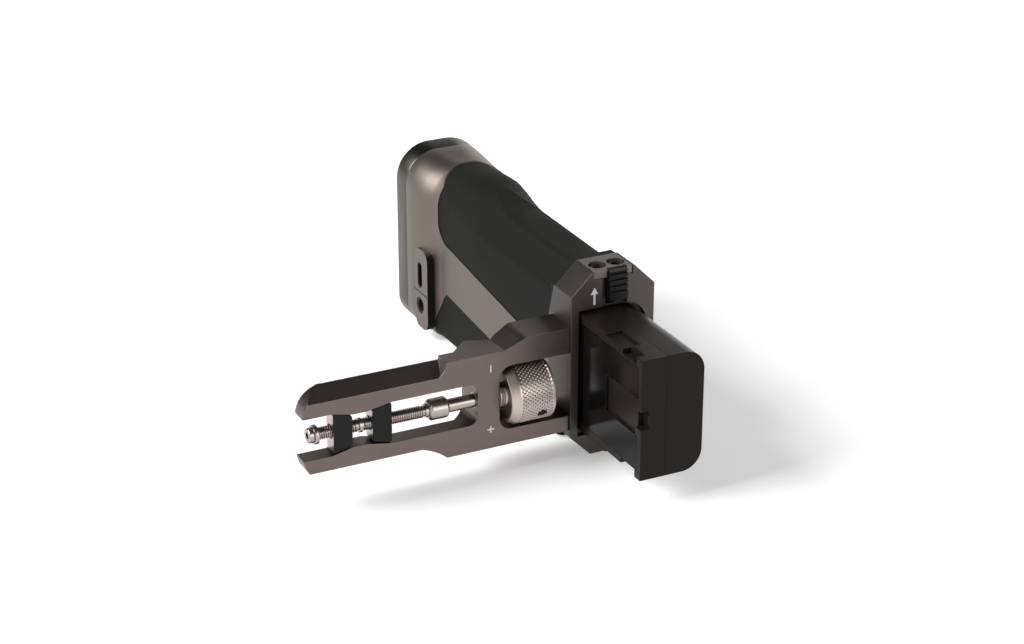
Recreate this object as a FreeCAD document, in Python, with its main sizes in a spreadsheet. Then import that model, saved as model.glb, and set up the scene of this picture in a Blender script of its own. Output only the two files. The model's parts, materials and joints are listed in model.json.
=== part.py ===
"""Camera side grip that holds a camcorder battery, with a forked clamp arm.

Frame: the grip lies on its side on Z = 0. Y runs along the handle, from the battery
mouth at Y = 0 to the far cap, the arm reaches towards -X, and Z is up.
The handle is lofted through stations, and its two rubber grips are let into it.
"""
import FreeCAD, Part
import math
import os

import Sketcher

Vec = FreeCAD.Vector

# Driving dimensions, in millimetres: alias, value, meaning
SIZES = [
    ("collar_width", 28.0, "octagonal collar across X"),
    ("collar_crown", 11.9, "octagonal collar above the battery mouth"),
    ("collar_depth", 10.9, "octagonal collar along Y"),
    ("collar_chamfer", 7.0, "corner of the octagon"),
    ("tab_depth", 4.1, "side tab behind the collar, along Y"),
    ("tab_wall", 0.4, "side tab, thickness"),
    ("ring_depth", 3.5, "rubber ring behind the collar"),
    ("ring_inset", 0.4, "ring below the collar's outline"),
    ("battery_width", 20.6, "battery across X"),
    ("battery_height", 38.4, "battery across Z"),
    ("battery_length", 70.8, "battery along Y"),
    ("battery_out", 37.0, "how far the battery stands out at rest"),
    ("battery_round", 6.5, "battery's rounded long edges"),
    ("battery_seam", 8.2, "thickness of the label-side shell"),
    ("shell_end", 2.0, "battery shell, end walls"),
    ("cell_radius", 9.0, "battery cell"),
    ("cell_spare", 0.9, "room beyond each end of a cell"),
    ("cell_shift", 0.7, "cells from the battery's middle, away from the lid"),
    ("cell_pitch", 9.2, "cells above and below the middle"),
    ("cell_gap", 0.1, "play round a cell"),
    ("bay_gap", 0.2, "play between battery and liner, X"),
    ("bay_lift", 0.25, "play between battery and liner, Z"),
    ("bay_bottom", 7.0, "lower edge of the battery mouth"),
    ("liner_wall", 0.5, "liner, label side"),
    ("liner_back", 1.2, "liner, rounded side"),
    ("liner_roof", 0.55, "liner, above the battery"),
    ("liner_floor", 1.65, "liner, below the battery"),
    ("liner_start", 1.7, "liner's edge behind the end face"),
    ("liner_end", 1.2, "liner's end wall"),
    ("liner_spare", 0.7, "room behind the battery when it is in"),
    ("fit_gap", 0.1, "clearance round seated pieces"),
    ("grip_length", 122.0, "end face to end face"),
    ("cap_depth", 9.0, "far cap along Y"),
    ("cap_bevel", 1.8, "far cap, outer edge"),
    ("side_near", 13.6, "half width at the neck"),
    ("side_far", 13.9, "half width of the straight sides"),
    ("flare", 3.4, "swell of the arm side at the far end"),
    ("flare_start", 92.0, "where the swell begins"),
    ("flare_end", 108.0, "where the swell is full"),
    ("top_near", 57.5, "top of the rubber beside the neck"),
    ("top_crest", 62.1, "top of the rubber above the ledge"),
    ("top_band", 61.3, "top of the metal band beyond the rubber"),
    ("top_far", 62.8, "top of the far end"),
    ("ledge_start", 60.0, "foot of the finger ledge"),
    ("ledge_end", 82.5, "crest of the finger ledge"),
    ("band_start", 98.0, "where the metal band begins to rise"),
    ("corner_near", 8.2, "upper corners at the neck"),
    ("corner_crest", 13.2, "upper corners above the ledge"),
    ("corner_far", 11.6, "upper corners at the far end"),
    ("corner_back", 1.6, "how much larger the other upper corner is"),
    ("valley", 0.5, "depth of the finger valley along the arm side"),
    ("crown", 0.3, "swell of the other upper corner at the neck"),
    ("heel_near", 5.5, "lower corners along the rubber"),
    ("heel_far", 9.0, "lower corners at the far end"),
    ("rubber", 1.2, "thickness of the rubber grips"),
    ("rubber_sink", 0.3, "rubber grips below the metal edge"),
    ("arm_front", 1.0, "arm's front face behind the end face"),
    ("arm_thickness", 12.0, "arm at its root"),
    ("arm_half", 15.5, "half height of the arm"),
    ("arm_axis", 24.5, "height of the arm's axis"),
    ("arm_raise", 3.0, "raised shoulder at the root"),
    ("arm_reach", 85.4, "collar side to the prong tips"),
    ("arm_step", 40.3, "collar side to the end of the full height"),
    ("arm_thin", 29.4, "collar side to the back bevel"),
    ("shoulder", 15.4, "collar side to the end of the shoulder"),
    ("shoulder_ramp", 4.6, "length of the shoulder's ramp"),
    ("tongue_thickness", 6.0, "fork plate"),
    ("tongue_front", 11.0, "half height of the fork, front face"),
    ("tongue_back", 14.3, "half height of the fork, back face"),
    ("tip_round", 8.4, "rounded corner of the prong tips"),
    ("slot_half", 6.6, "half height of the fork slot"),
    ("slot_start", 30.3, "collar side to the closed end of the slot"),
    ("slot_round", 3.0, "closed end of the slot"),
    ("runout_low", 12.7, "lower cutter run-out, length"),
    ("runout_low_round", 20.3, "lower cutter run-out, radius"),
    ("runout_foot", 10.4, "half height where the run-outs start"),
    ("runout_high", 4.8, "upper cutter run-out, length"),
    ("runout_high_round", 5.0, "upper cutter run-out, radius"),
    ("arm_screw_reach", 9.0, "arm screws, depth in the arm"),
    ("cam_rise", 1.4, "wedge rise on each prong"),
    ("cam_from", 57.9, "collar side to the inner wedge foot"),
    ("cam_top_from", 65.5, "collar side to the start of the wedge top"),
    ("cam_top_to", 70.0, "collar side to the end of the wedge top"),
    ("cam_to", 76.4, "collar side to the outer wedge foot"),
    ("window_half", 10.3, "half height of the wheel window"),
    ("window_reach", 23.1, "collar side to the bridge"),
    ("window_round", 4.0, "window corners"),
    ("wheel_radius", 9.4, "thumbwheel"),
    ("wheel_length", 14.1, "thumbwheel"),
    ("wheel_gap", 7.4, "collar side to the wheel"),
    ("wheel_rim", 2.5, "smooth rim of the wheel"),
    ("rim_drop", 1.1, "rim's slope"),
    ("set_screw_from", 4.0, "set screw from the wheel's near end"),
    ("shaft_radius", 2.0, "plain shaft"),
    ("screw_radius", 1.9, "threaded spindle"),
    ("screw_end", 83.0, "collar side to the spindle's end nut"),
    ("run_gap", 0.08, "radial running clearance"),
    ("sleeve_radius", 3.2, "shaft coupling sleeve"),
    ("sleeve_length", 6.3, "shaft coupling sleeve"),
    ("sleeve_from", 39.1, "collar side to the sleeve"),
    ("bush_radius", 2.5, "bridge bush"),
    ("bush_flange", 0.8, "bush flange thickness"),
    ("block_half", 6.4, "half height of the wedge blocks"),
    ("block_length", 6.0, "wedge blocks along X"),
    ("block_inset", 0.3, "blocks behind the fork's faces"),
    ("cover_width", 13.0, "latch cover across X"),
    ("cover_thickness", 2.6, "latch cover"),
    ("cover_screw_gap", 6.2, "latch cover screws, spacing"),
    ("cover_screw_y", 4.8, "latch cover screws, behind the end face"),
    ("latch_left", 1.7, "slider, left of the centre"),
    ("latch_right", 4.4, "slider, right of the centre"),
    ("latch_proud", 1.2, "slider in front of the end face"),
    ("latch_deep", 1.4, "slider behind the end face"),
    ("latch_travel", 2.5, "slider travel"),
    ("latch_rib", 1.9, "spacing of the slider's ribs"),
    ("latch_play", 0.2, "clearance round the slider"),
    ("stem_half", 1.5, "half width of the slider's stem"),
    ("hook_from", 6.4, "hook, front face behind the end face"),
    ("hook_depth", 2.8, "hook along Y"),
    ("hook_width", 1.8, "hook tooth along X"),
    ("hook_clear", 0.6, "hook above the battery when the latch is open"),
    ("hook_rise", 3.0, "hook arm, height"),
    ("notch_near", 3.4, "battery notch from the battery's end"),
    ("notch_length", 8.1, "battery notch along Y"),
    ("lid_thickness", 2.75, "battery lid, which the notches go through"),
    ("notch_height", 2.5, "battery notch along Z"),
    ("pod_near", 96.5, "port pod, near edge"),
    ("pod_width", 10.0, "port pod along Y"),
    ("pod_bottom", 3.5, "port pod, lower edge"),
    ("pod_height", 28.5, "port pod"),
    ("port_inset", 6.0, "centre line of the ports from the pod's near edge"),
    ("usb_z", 22.5, "charging port, centre height"),
    ("usb_height", 9.0, "charging port along Z"),
    ("usb_width", 3.3, "charging port along Y"),
    ("jack_z", 11.5, "jack, centre height"),
    ("jack_radius", 2.15, "jack mouth"),
    ("board_wall", 1.6, "circuit board"),
    ("board_room", 2.0, "board's distance from the contacts and from the cap"),
    ("board_screw_inset", 5.0, "board screws from the board's ends"),
    ("carrier_inset", 0.6, "contact carrier from the bay's wall"),
    ("carrier_width", 8.4, "contact carrier across X"),
    ("carrier_height", 32.0, "contact carrier across Z"),
    ("carrier_depth", 5.0, "contact carrier along Y"),
    ("label_from", 2.0, "battery label from the battery's outer end"),
    ("label_to", 8.0, "battery label from the battery's inner end"),
    ("label_edge", 3.0, "battery label from the battery's long edges"),
    ("channel_length", 21.2, "battery's middle channel, from its outer end"),
    ("channel_low", 5.6, "channel's lower wall below the middle"),
    ("channel_high", 6.3, "channel's upper wall above the middle"),
    ("channel_depth", 0.9, "battery's middle channel"),
    ("edge_from", 10.5, "recess on the battery's long edges, from its outer end"),
    ("edge_to", 21.2, "recess on the battery's long edges, its far end"),
    ("edge_width", 5.0, "recess on the battery's long edges, along X"),
    ("edge_depth", 0.8, "recess on the battery's long edges"),
    ("screw_shank", 1.5, "small screws, shank radius"),
    ("screw_head", 2.6, "small screws, head radius"),
    ("screw_head_depth", 1.6, "small screws, head depth"),
    ("cover_screw_reach", 4.7, "cover screws, whole length"),
    ("cover_screw_sink", 0.8, "cover screws below the cover's top"),
    ("cover_head_depth", 1.0, "cover screws, head depth"),
    ("cap_screw_side", 6.5, "cap screws from the middle"),
    ("cap_screw_above", 6.0, "upper cap screws above the bay"),
    ("cap_screw_below", 3.05, "lower cap screws below the bay"),
    ("cap_screw_head", 2.2, "cap screws, head radius"),
    ("cap_screw_sink", 0.4, "cap screws below the cap's face"),
    ("cap_screw_bite", 5.0, "cap screws, depth in the housing"),
]

doc = FreeCAD.newDocument("BatteryGrip")
sheet = doc.addObject("Spreadsheet::Sheet", "Sizes")
for row, (alias, value, note) in enumerate(SIZES, 1):
    sheet.set(f"A{row}", alias)
    sheet.set(f"B{row}", str(value))
    sheet.setAlias(f"B{row}", alias)
    sheet.set(f"C{row}", note)
doc.recompute()


class Size:
    """A length that knows both its number and the sheet expression behind it."""

    def __init__(self, value, text):
        self.value = value
        self.text = text

    def __float__(self):
        return self.value

    def __neg__(self):
        return Size(-self.value, f"(-{self.text})")

    def __add__(self, other):
        other = to_size(other)
        return Size(self.value + other.value, f"({self.text} + {other.text})")

    def __sub__(self, other):
        return self + -to_size(other)

    def __mul__(self, factor):
        return Size(self.value * factor, f"({self.text} * {factor})")

    def __radd__(self, other):
        return to_size(other) + self

    def __rsub__(self, other):
        return to_size(other) - self

    __rmul__ = __mul__


def to_size(number):
    """A plain number as a Size, or the Size itself."""
    return number if isinstance(number, Size) else Size(float(number), f"({float(number)})")


class Sizes:
    """Every alias of the sheet as an attribute."""


s = Sizes()
for alias, value, note in SIZES:
    setattr(s, alias, Size(float(sheet.get(alias)), f"Sizes.{alias}"))

pieces = []


def bind(item, path, size):
    """Ties one property of a document object to the sheet."""
    item.setExpression(path, to_size(size).text)


def new_body(label):
    body = doc.addObject("PartDesign::Body", label)
    body.Label = label
    pieces.append(body)
    return body


def arc_between(a, b, radius):
    """Arc from a to b: its centre is on the left for a positive radius, else on the right."""
    chord = b - a
    half = chord.Length / 2
    left = Vec(-chord.y, chord.x, 0).normalize()
    offset = math.sqrt(max(radius * radius - half * half, 0.0))
    centre = (a + b) * 0.5 + left * math.copysign(offset, radius)
    first, last = (a, b) if radius > 0 else (b, a)
    start = math.atan2(first.y - centre.y, first.x - centre.x)
    end = math.atan2(last.y - centre.y, last.x - centre.x)
    circle = Part.Circle(centre, Vec(0, 0, 1), abs(radius))
    return Part.ArcOfCircle(circle, start, end)


def fix_point(sketch, geometry, position, x, y):
    """Dimensions a sketch point from the origin, both ways."""
    for kind, size in (("DistanceX", x), ("DistanceY", y)):
        size = to_size(size)
        index = sketch.addConstraint(
            Sketcher.Constraint(kind, -1, 1, geometry, position, size.value)
        )
        sketch.setExpression(f"Constraints[{index}]", size.text)


def fix_radius(sketch, geometry, size):
    index = sketch.addConstraint(Sketcher.Constraint("Radius", geometry, abs(float(size))))
    sketch.setExpression(f"Constraints[{index}]", f"abs({to_size(size).text})")


def add_loop(sketch, loop):
    """Closed outline. A corner (x, y, radius) starts an arc, (x, y) a straight line."""
    first = sketch.GeometryCount
    count = len(loop)
    ends = []
    for i, corner in enumerate(loop):
        following = loop[(i + 1) % count]
        a = Vec(float(corner[0]), float(corner[1]), 0)
        b = Vec(float(following[0]), float(following[1]), 0)
        radius = corner[2] if len(corner) > 2 else None
        if radius is None:
            sketch.addGeometry(Part.LineSegment(a, b), False)
            ends.append((1, 2))
        else:
            sketch.addGeometry(arc_between(a, b, float(radius)), False)
            ends.append((1, 2) if float(radius) > 0 else (2, 1))
    for i in range(count):
        after = (i + 1) % count
        sketch.addConstraint(
            Sketcher.Constraint("Coincident", first + i, ends[i][1], first + after, ends[after][0])
        )
    for i, corner in enumerate(loop):
        fix_point(sketch, first + i, ends[i][0], corner[0], corner[1])
        if len(corner) > 2:
            fix_radius(sketch, first + i, corner[2])


def add_circle(sketch, x, y, radius):
    index = sketch.addGeometry(Part.Circle(Vec(float(x), float(y), 0), Vec(0, 0, 1), float(radius)))
    fix_point(sketch, index, 3, x, y)
    fix_radius(sketch, index, radius)


def draw(body, name, plane, place, loops, circles=()):
    """Sketch on an origin plane of the body, moved to `place` along the plane's axis."""
    sketch = body.newObject("Sketcher::SketchObject", name)
    support = [f for f in body.Origin.OriginFeatures if f.Role == f"{plane}_Plane"][0]
    sketch.AttachmentSupport = [(support, "")]
    sketch.MapMode = "FlatFace"
    lift = -to_size(place) if plane == "XZ" else to_size(place)
    bind(sketch, "AttachmentOffset.Base.z", lift)
    for loop in loops:
        add_loop(sketch, loop)
    for x, y, radius in circles:
        add_circle(sketch, x, y, radius)
    return sketch


def pad(body, name, plane, start, end, loops=(), circles=()):
    """Solid between two positions along the plane's axis."""
    sketch = draw(body, f"{name}_sketch", plane, start, loops, circles)
    feature = body.newObject("PartDesign::Pad", name)
    feature.Profile = sketch
    feature.Reversed = plane == "XZ"
    bind(feature, "Length", to_size(end) - to_size(start))
    doc.recompute()
    return feature


def pocket(body, name, plane, start, end, loops=(), circles=()):
    """Cut between two positions along the plane's axis. It has to remove material."""
    before = body.Shape.Volume
    sketch = draw(body, f"{name}_sketch", plane, start, loops, circles)
    feature = body.newObject("PartDesign::Pocket", name)
    feature.Profile = sketch
    feature.Reversed = plane != "XZ"
    bind(feature, "Length", to_size(end) - to_size(start))
    doc.recompute()
    if body.Shape.Volume >= before - 1e-6:
        raise RuntimeError(f"{name} cuts nothing")
    return feature


def revolve(body, name, loop):
    """Turned piece: the outline gives X along the axis and the radius."""
    sketch = draw(body, f"{name}_sketch", "XY", 0, [loop])
    feature = body.newObject("PartDesign::Revolution", name)
    feature.Profile = sketch
    feature.ReferenceAxis = (sketch, ["H_Axis"])
    feature.Angle = 360.0
    doc.recompute()
    return feature


def rectangle(x0, x1, y0, y1):
    return [(x0, y0), (x1, y0), (x1, y1), (x0, y1)]


def eight_sided(x, y, radius):
    """Eight-sided outline for the hidden screws and their bores."""
    turns = [math.radians(22.5 + 45 * k) for k in range(8)]
    return [(to_size(x) + to_size(radius) * math.cos(a), to_size(y) + to_size(radius) * math.sin(a))
            for a in turns]


def bay_outline(x0, x1, z0, z1, radius):
    """Battery outline: square on the label side, rounded on the other."""
    return [
        (x0, z0), (x1 - radius, z0, radius), (x1, z0 + radius),
        (x1, z1 - radius, radius), (x1 - radius, z1), (x0, z1),
    ]


def octagon(inset):
    """Outline of the collar in X and Z, drawn in by `inset`."""
    half = s.collar_width * 0.5 - inset
    low = to_size(inset)
    high = collar_height - inset
    cut = s.collar_chamfer - inset * (2 - math.sqrt(2))
    return [
        (-half, low + cut), (-half + cut, low), (half - cut, low), (half, low + cut),
        (half, high - cut), (half - cut, high), (-half + cut, high), (-half, high - cut),
    ]


def wire(loop):
    """Straight-sided closed wire of a 2-D loop of plain numbers."""
    points = [Vec(*p) for p in loop]
    return Part.makePolygon(points + points[:1])


def prism(points, span):
    """Solid of a polygon of 3-D points pushed along a vector."""
    return Part.Face(wire(points)).extrude(span)


def feature_from(label, shape):
    """Sub-part whose form is worked out here from the sheet's sizes."""
    item = doc.addObject("Part::Feature", label)
    item.Label = label
    item.Shape = shape
    item.Placement = FreeCAD.Placement()
    pieces.append(item)
    return item


SET_SCREW_TURN = 32.0

AXIS_X = Vec(1, 0, 0)
AXIS_Y = Vec(0, 1, 0)
AXIS_Z = Vec(0, 0, 1)

# Places that several pieces share
side = -s.collar_width * 0.5
bay_width = s.liner_wall + s.bay_gap * 2 + s.battery_width + s.liner_back
bay_left = -bay_width * 0.5
bay_right = bay_width * 0.5
battery_left = bay_left + s.liner_wall + s.bay_gap
battery_right = battery_left + s.battery_width
battery_bottom = s.bay_bottom + s.liner_floor + s.bay_lift
battery_top = battery_bottom + s.battery_height
battery_middle = battery_bottom + s.battery_height * 0.5
bay_top = battery_top + s.bay_lift + s.liner_roof
bay_round = s.battery_round + s.bay_gap + s.liner_roof
neck = s.collar_depth + s.ring_depth
cap_seam = s.grip_length - s.cap_depth
liner_stop = s.battery_length + s.liner_spare
collar_height = bay_top + s.collar_crown
cover_bottom = collar_height - s.cover_thickness
arm_back = s.arm_front + s.arm_thickness
tongue_back_y = s.arm_front + s.tongue_thickness
screw_y = s.arm_front + s.tongue_thickness * 0.5
screw_z = s.arm_axis
bay_outer = bay_outline(bay_left, bay_right, s.bay_bottom, bay_top, bay_round)
cover_screws = [(-s.cover_screw_gap * 0.5, s.cover_screw_y), (s.cover_screw_gap * 0.5, s.cover_screw_y)]
beam_half = (s.arm_half + s.window_half) * 0.5
arm_screw_heights = [s.arm_axis - beam_half, s.arm_axis + beam_half]
arm_screw_y = s.collar_depth * 0.5
hook_left = battery_left + 0.15
hook_back = s.hook_from + s.hook_depth
tooth_bottom = battery_top + s.hook_clear
arm_bar_bottom = bay_top + s.latch_travel + 0.4
slider_bottom = battery_top + s.latch_travel + s.latch_play
carrier_end = liner_stop + s.liner_end + s.carrier_depth
board_near = carrier_end + s.board_room
board_far = cap_seam - s.board_room
board_screw_z = battery_middle + 13
port_y = s.pod_near + s.port_inset
board_screw_places = [(board_near + s.board_screw_inset, board_screw_z),
                      (board_far - s.board_screw_inset, board_screw_z)]


cap_screw_places = [
    (-s.cap_screw_side, bay_top + s.cap_screw_above), (s.cap_screw_side, bay_top + s.cap_screw_above),
    (-s.cap_screw_side, s.bay_bottom - s.cap_screw_below), (s.cap_screw_side, s.bay_bottom - s.cap_screw_below),
]


def build_collar():
    """Octagonal mouth piece: battery opening, latch channel and the arm's seat."""
    body = new_body("end_collar")
    pad(body, "collar_block", "XZ", 0, s.collar_depth, [octagon(0)])
    tab_end = s.collar_depth + s.tab_depth
    top = collar_height - s.collar_chamfer
    pad(body, "side_tab", "YZ", side, side + s.tab_wall, [[
        (s.collar_depth - 1, s.collar_chamfer), (s.collar_depth + 0.6, s.collar_chamfer),
        (tab_end, s.collar_chamfer + 11), (tab_end, top - 11),
        (s.collar_depth + 0.6, top), (s.collar_depth - 1, top),
    ]])
    pocket(body, "mouth", "XZ", 0, s.collar_depth, [bay_outer])
    pocket(body, "cover_seat", "XY", cover_bottom, collar_height,
           [rectangle(-s.cover_width * 0.5, s.cover_width * 0.5, 0, s.collar_depth)])
    pocket(body, "latch_channel", "XZ", 0, s.latch_deep + s.latch_play,
           [rectangle(-s.latch_left - 2.1, s.latch_right + s.latch_play, bay_top - 1, cover_bottom + 1)])
    pocket(body, "stem_slot", "XZ", s.latch_deep, hook_back + s.latch_play,
           [rectangle(-s.stem_half - s.latch_play, s.stem_half + s.latch_play,
                      arm_bar_bottom - s.latch_travel - s.latch_play, cover_bottom)])
    pocket(body, "hook_room", "XZ", s.hook_from - s.latch_play, hook_back + s.latch_play,
           [rectangle(hook_left - s.latch_play, s.stem_half,
                      arm_bar_bottom - s.latch_travel - s.latch_play,
                      arm_bar_bottom + s.hook_rise + s.latch_play)])
    pocket(body, "tooth_hole", "XZ", s.hook_from - s.latch_play, hook_back + s.latch_play,
           [rectangle(hook_left - s.latch_play, hook_left + s.hook_width + s.latch_play,
                      bay_top - 0.5, arm_bar_bottom)])
    pocket(body, "cover_taps", "XY", cover_bottom - 3, cover_bottom,
           circles=[(x, y, s.screw_shank) for x, y in cover_screws])
    pocket(body, "arm_holes", "YZ", side, bay_left,
           [eight_sided(arm_screw_y, z, s.screw_shank) for z in arm_screw_heights])
    pocket(body, "arm_head_seats", "YZ", bay_left - s.screw_head_depth, bay_left,
           [eight_sided(arm_screw_y, z, s.screw_head + s.fit_gap) for z in arm_screw_heights])


def build_ring():
    body = new_body("neck_ring")
    pad(body, "ring_block", "XZ", s.collar_depth, neck, [octagon(s.ring_inset)])
    pocket(body, "ring_hole", "XZ", s.collar_depth, neck, [bay_outer])


def build_liner():
    """Plastic sleeve of the battery bay, closed at the far end."""
    body = new_body("battery_liner")
    end = liner_stop + s.liner_end
    pad(body, "liner_block", "XZ", s.liner_start, end, [bay_outer])
    inner = bay_outline(bay_left + s.liner_wall, battery_right + s.bay_gap,
                        battery_bottom - s.bay_lift, battery_top + s.bay_lift,
                        s.battery_round + s.bay_gap)
    pocket(body, "liner_bay", "XZ", s.liner_start, liner_stop, [inner])
    pocket(body, "liner_tooth_hole", "XZ", s.hook_from - s.latch_play, hook_back + s.latch_play,
           [rectangle(hook_left - s.latch_play, hook_left + s.hook_width + s.latch_play,
                      bay_top - s.liner_roof - 0.2, bay_top)])
    pocket(body, "blade_window", "XZ", liner_stop, end,
           [rectangle(blade_x - 1.2, blade_x + 1.2, battery_middle - 14, battery_middle + 14)])


blade_x = battery_left + 3.5
blade_heights = [battery_middle + step for step in (-10, 0, 10)]
blade_reach = 2.6
blade_half = 1.5


def build_contacts():
    """Carrier and three spring blades that meet the battery's end."""
    start = liner_stop + s.liner_end
    body = new_body("contact_block")
    carrier_left = bay_left + s.carrier_inset
    carrier_half = s.carrier_height * 0.5
    pad(body, "carrier", "XZ", start, carrier_end,
        [rectangle(carrier_left, carrier_left + s.carrier_width,
                   battery_middle - carrier_half, battery_middle + carrier_half)])
    pocket(body, "blade_slots", "XZ", start, start + 3,
           [rectangle(blade_x - 0.3, blade_x + 0.3, z - blade_half, z + blade_half)
            for z in blade_heights])
    blades = []
    for i, z in enumerate(blade_heights, 1):
        blade = doc.addObject("Part::Box", f"blade_{i}")
        bind(blade, "Length", to_size(0.6))
        bind(blade, "Height", to_size(2 * blade_half))
        bind(blade, "Width", s.liner_end + s.liner_spare + blade_reach + 3)
        bind(blade, "Placement.Base.x", blade_x - 0.3)
        bind(blade, "Placement.Base.y", s.battery_length - blade_reach)
        bind(blade, "Placement.Base.z", z - blade_half)
        blades.append(blade)
    group("contact_blades", blades)


def group(label, items):
    """Separate solids that share one node."""
    item = doc.addObject("Part::Compound", label)
    item.Label = label
    item.Links = items
    pieces.append(item)
    return item


def smooth(y, start, end):
    """Eased 0 to 1 between two stations."""
    t = min(max((y - start) / (end - start), 0.0), 1.0)
    return t * t * (3 - 2 * t)


def station(y, inset, angular=False):
    """Closed outline of the handle at a station: four sides and four corners.

    A corner is an arc, hollow where its fullness is below zero. In an angular outline it
    is two straight lines through the arc's middle.
    """
    swell = smooth(y, s.flare_start.value, s.flare_end.value)
    ledge = smooth(y, s.ledge_start.value, s.ledge_end.value)
    band = smooth(y, s.ledge_end.value, s.band_start.value)
    rise = smooth(y, s.band_start.value, s.grip_length.value)
    widen = smooth(y, neck.value, s.ledge_start.value)
    half = s.side_near.value + (s.side_far.value - s.side_near.value) * widen
    left = -half - s.flare.value * swell + inset
    right = half - inset
    top = s.top_near.value + (s.top_crest.value - s.top_near.value) * ledge
    top += (s.top_band.value - s.top_crest.value) * band + (s.top_far.value - s.top_band.value) * rise
    top -= inset
    drawn_in = inset * (2 - math.sqrt(2))
    upper = s.corner_near.value + (s.corner_crest.value - s.corner_near.value) * ledge
    upper += (s.corner_far.value - s.corner_crest.value) * swell - drawn_in
    upper_back = upper + s.corner_back.value * ledge
    squeeze = min(1.0, (right - left - 1.0) / (upper + upper_back))
    upper *= squeeze
    upper_back *= squeeze
    heel = s.heel_near.value + (s.heel_far.value - s.heel_near.value) * swell - drawn_in
    hollow = s.valley.value * (1 - ledge) / (upper * (1 - math.sqrt(0.5)))
    swollen = s.crown.value * (1 - ledge) / (upper_back * (1 - math.sqrt(0.5)))
    corners = [  # start and end of each corner, and its fullness
        (Vec(left, y, top - upper), Vec(left + upper, y, top), ledge - hollow),
        (Vec(right - upper_back, y, top), Vec(right, y, top - upper_back), ledge + swollen),
        (Vec(right, y, inset + heel), Vec(right - heel, y, inset), 1.0),
        (Vec(left + heel, y, inset), Vec(left, y, inset + heel), 1.0),
    ]
    centre = Vec((left + right) / 2, y, (top + inset) / 2)
    edges = []
    for i, (start, end, fullness) in enumerate(corners):
        chord = end - start
        outward = Vec(-chord.z, 0, chord.x).normalize()
        if outward.dot((start + end) * 0.5 - centre) < 0:
            outward = outward * -1
        if abs(fullness) < 0.03:
            fullness = 0.03
        middle = (start + end) * 0.5 + outward * (chord.Length * (math.sqrt(2) - 1) / 2 * fullness)
        if angular:
            edges.append(Part.LineSegment(start, middle).toShape())
            edges.append(Part.LineSegment(middle, end).toShape())
        else:
            edges.append(Part.Arc(start, middle, end).toShape())
        edges.append(Part.LineSegment(end, corners[(i + 1) % 4][0]).toShape())
    return Part.Wire(edges)


def handle_stations(ledge_spans, flare_spans):
    """Stations close together where the handle swells, and far apart where it is straight."""
    steps = [neck.value]
    for start, end, spans in ((s.ledge_start, s.ledge_end, ledge_spans), (s.flare_start, s.flare_end, flare_spans)):
        step = (end.value - start.value) / spans
        steps += [start.value + step * k for k in range(spans + 1)]
    return steps + [cap_seam.value]


def handle_loft(inset):
    return Part.makeLoft([station(y, inset) for y in handle_stations(5, 3)], True, True)


def core_loft():
    """Form below the rubber, with flat corners and longer spans."""
    return Part.makeLoft([station(y, s.rubber.value, True) for y in handle_stations(2, 2)], True, True)


def grip_regions():
    """Blocks across X that mark out the upper and the lower rubber grip."""
    half = s.collar_width.value
    near = neck.value
    far = s.flare_start.value
    z = s.arm_axis.value
    upper = [
        Vec(-half, near - 1, z + 3.6), Vec(-half, far - 6, z + 12.6),
    ]
    bend = Part.Arc(upper[1], Vec(-half, far + 0.4, z + 15.2), Vec(-half, far + 2, z + 20)).toShape()
    over = s.top_far.value + 5
    edges = [Part.LineSegment(upper[0], upper[1]).toShape(), bend]
    turn = [Vec(-half, far + 2, z + 20), Vec(-half, far + 2, z + 31.5), Vec(-half, far + 7.5, over - 6),
            Vec(-half, far + 7.5, over), Vec(-half, near - 1, over), upper[0]]
    edges += [Part.LineSegment(a, b).toShape() for a, b in zip(turn, turn[1:])]
    upper_block = Part.Face(Part.Wire(edges)).extrude(Vec(2 * half, 0, 0))
    lower = [
        (-half, near - 1, z - 10.9), (-half, far - 3.4, z - 4.4), (-half, far - 0.6, z - 7.7),
        (-half, far + 2.9, z - 13.8), (-half, far + 8, -2), (-half, near - 1, -2),
    ]
    lower_block = prism(lower, Vec(2 * half, 0, 0))
    return upper_block, lower_block


def stadium(y, z, width, height, x, depth):
    """Round-ended slot in a YZ plane, pushed along X."""
    r = width / 2
    reach = height / 2 - r
    body = Part.makeBox(depth, width, 2 * reach, Vec(x, y - r, z - reach))
    for end in (-reach, reach):
        body = body.fuse(Part.makeCylinder(r, depth, Vec(x, y, z + end), AXIS_X))
    return body.removeSplitter()


def rounded_plate(y0, y1, z0, z1, radius, x, depth):
    """Plate in a YZ plane with rounded corners, pushed along X."""
    plate = Part.makeBox(depth, y1 - y0, z1 - z0, Vec(x, y0, z0))
    return plate.makeFillet(radius, [e for e in plate.Edges if abs(e.tangentAt(e.FirstParameter).x) > 0.9])


def eight_sided_rod(x, y, radius, plane, start, end):
    """Eight-sided rod along X (plane YZ) or along Y (plane XZ)."""
    points = [(float(a), float(b)) for a, b in eight_sided(x, y, radius)]
    if plane == "YZ":
        return prism([(start, a, b) for a, b in points], Vec(end - start, 0, 0))
    return prism([(a, start, b) for a, b in points], Vec(0, end - start, 0))


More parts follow.
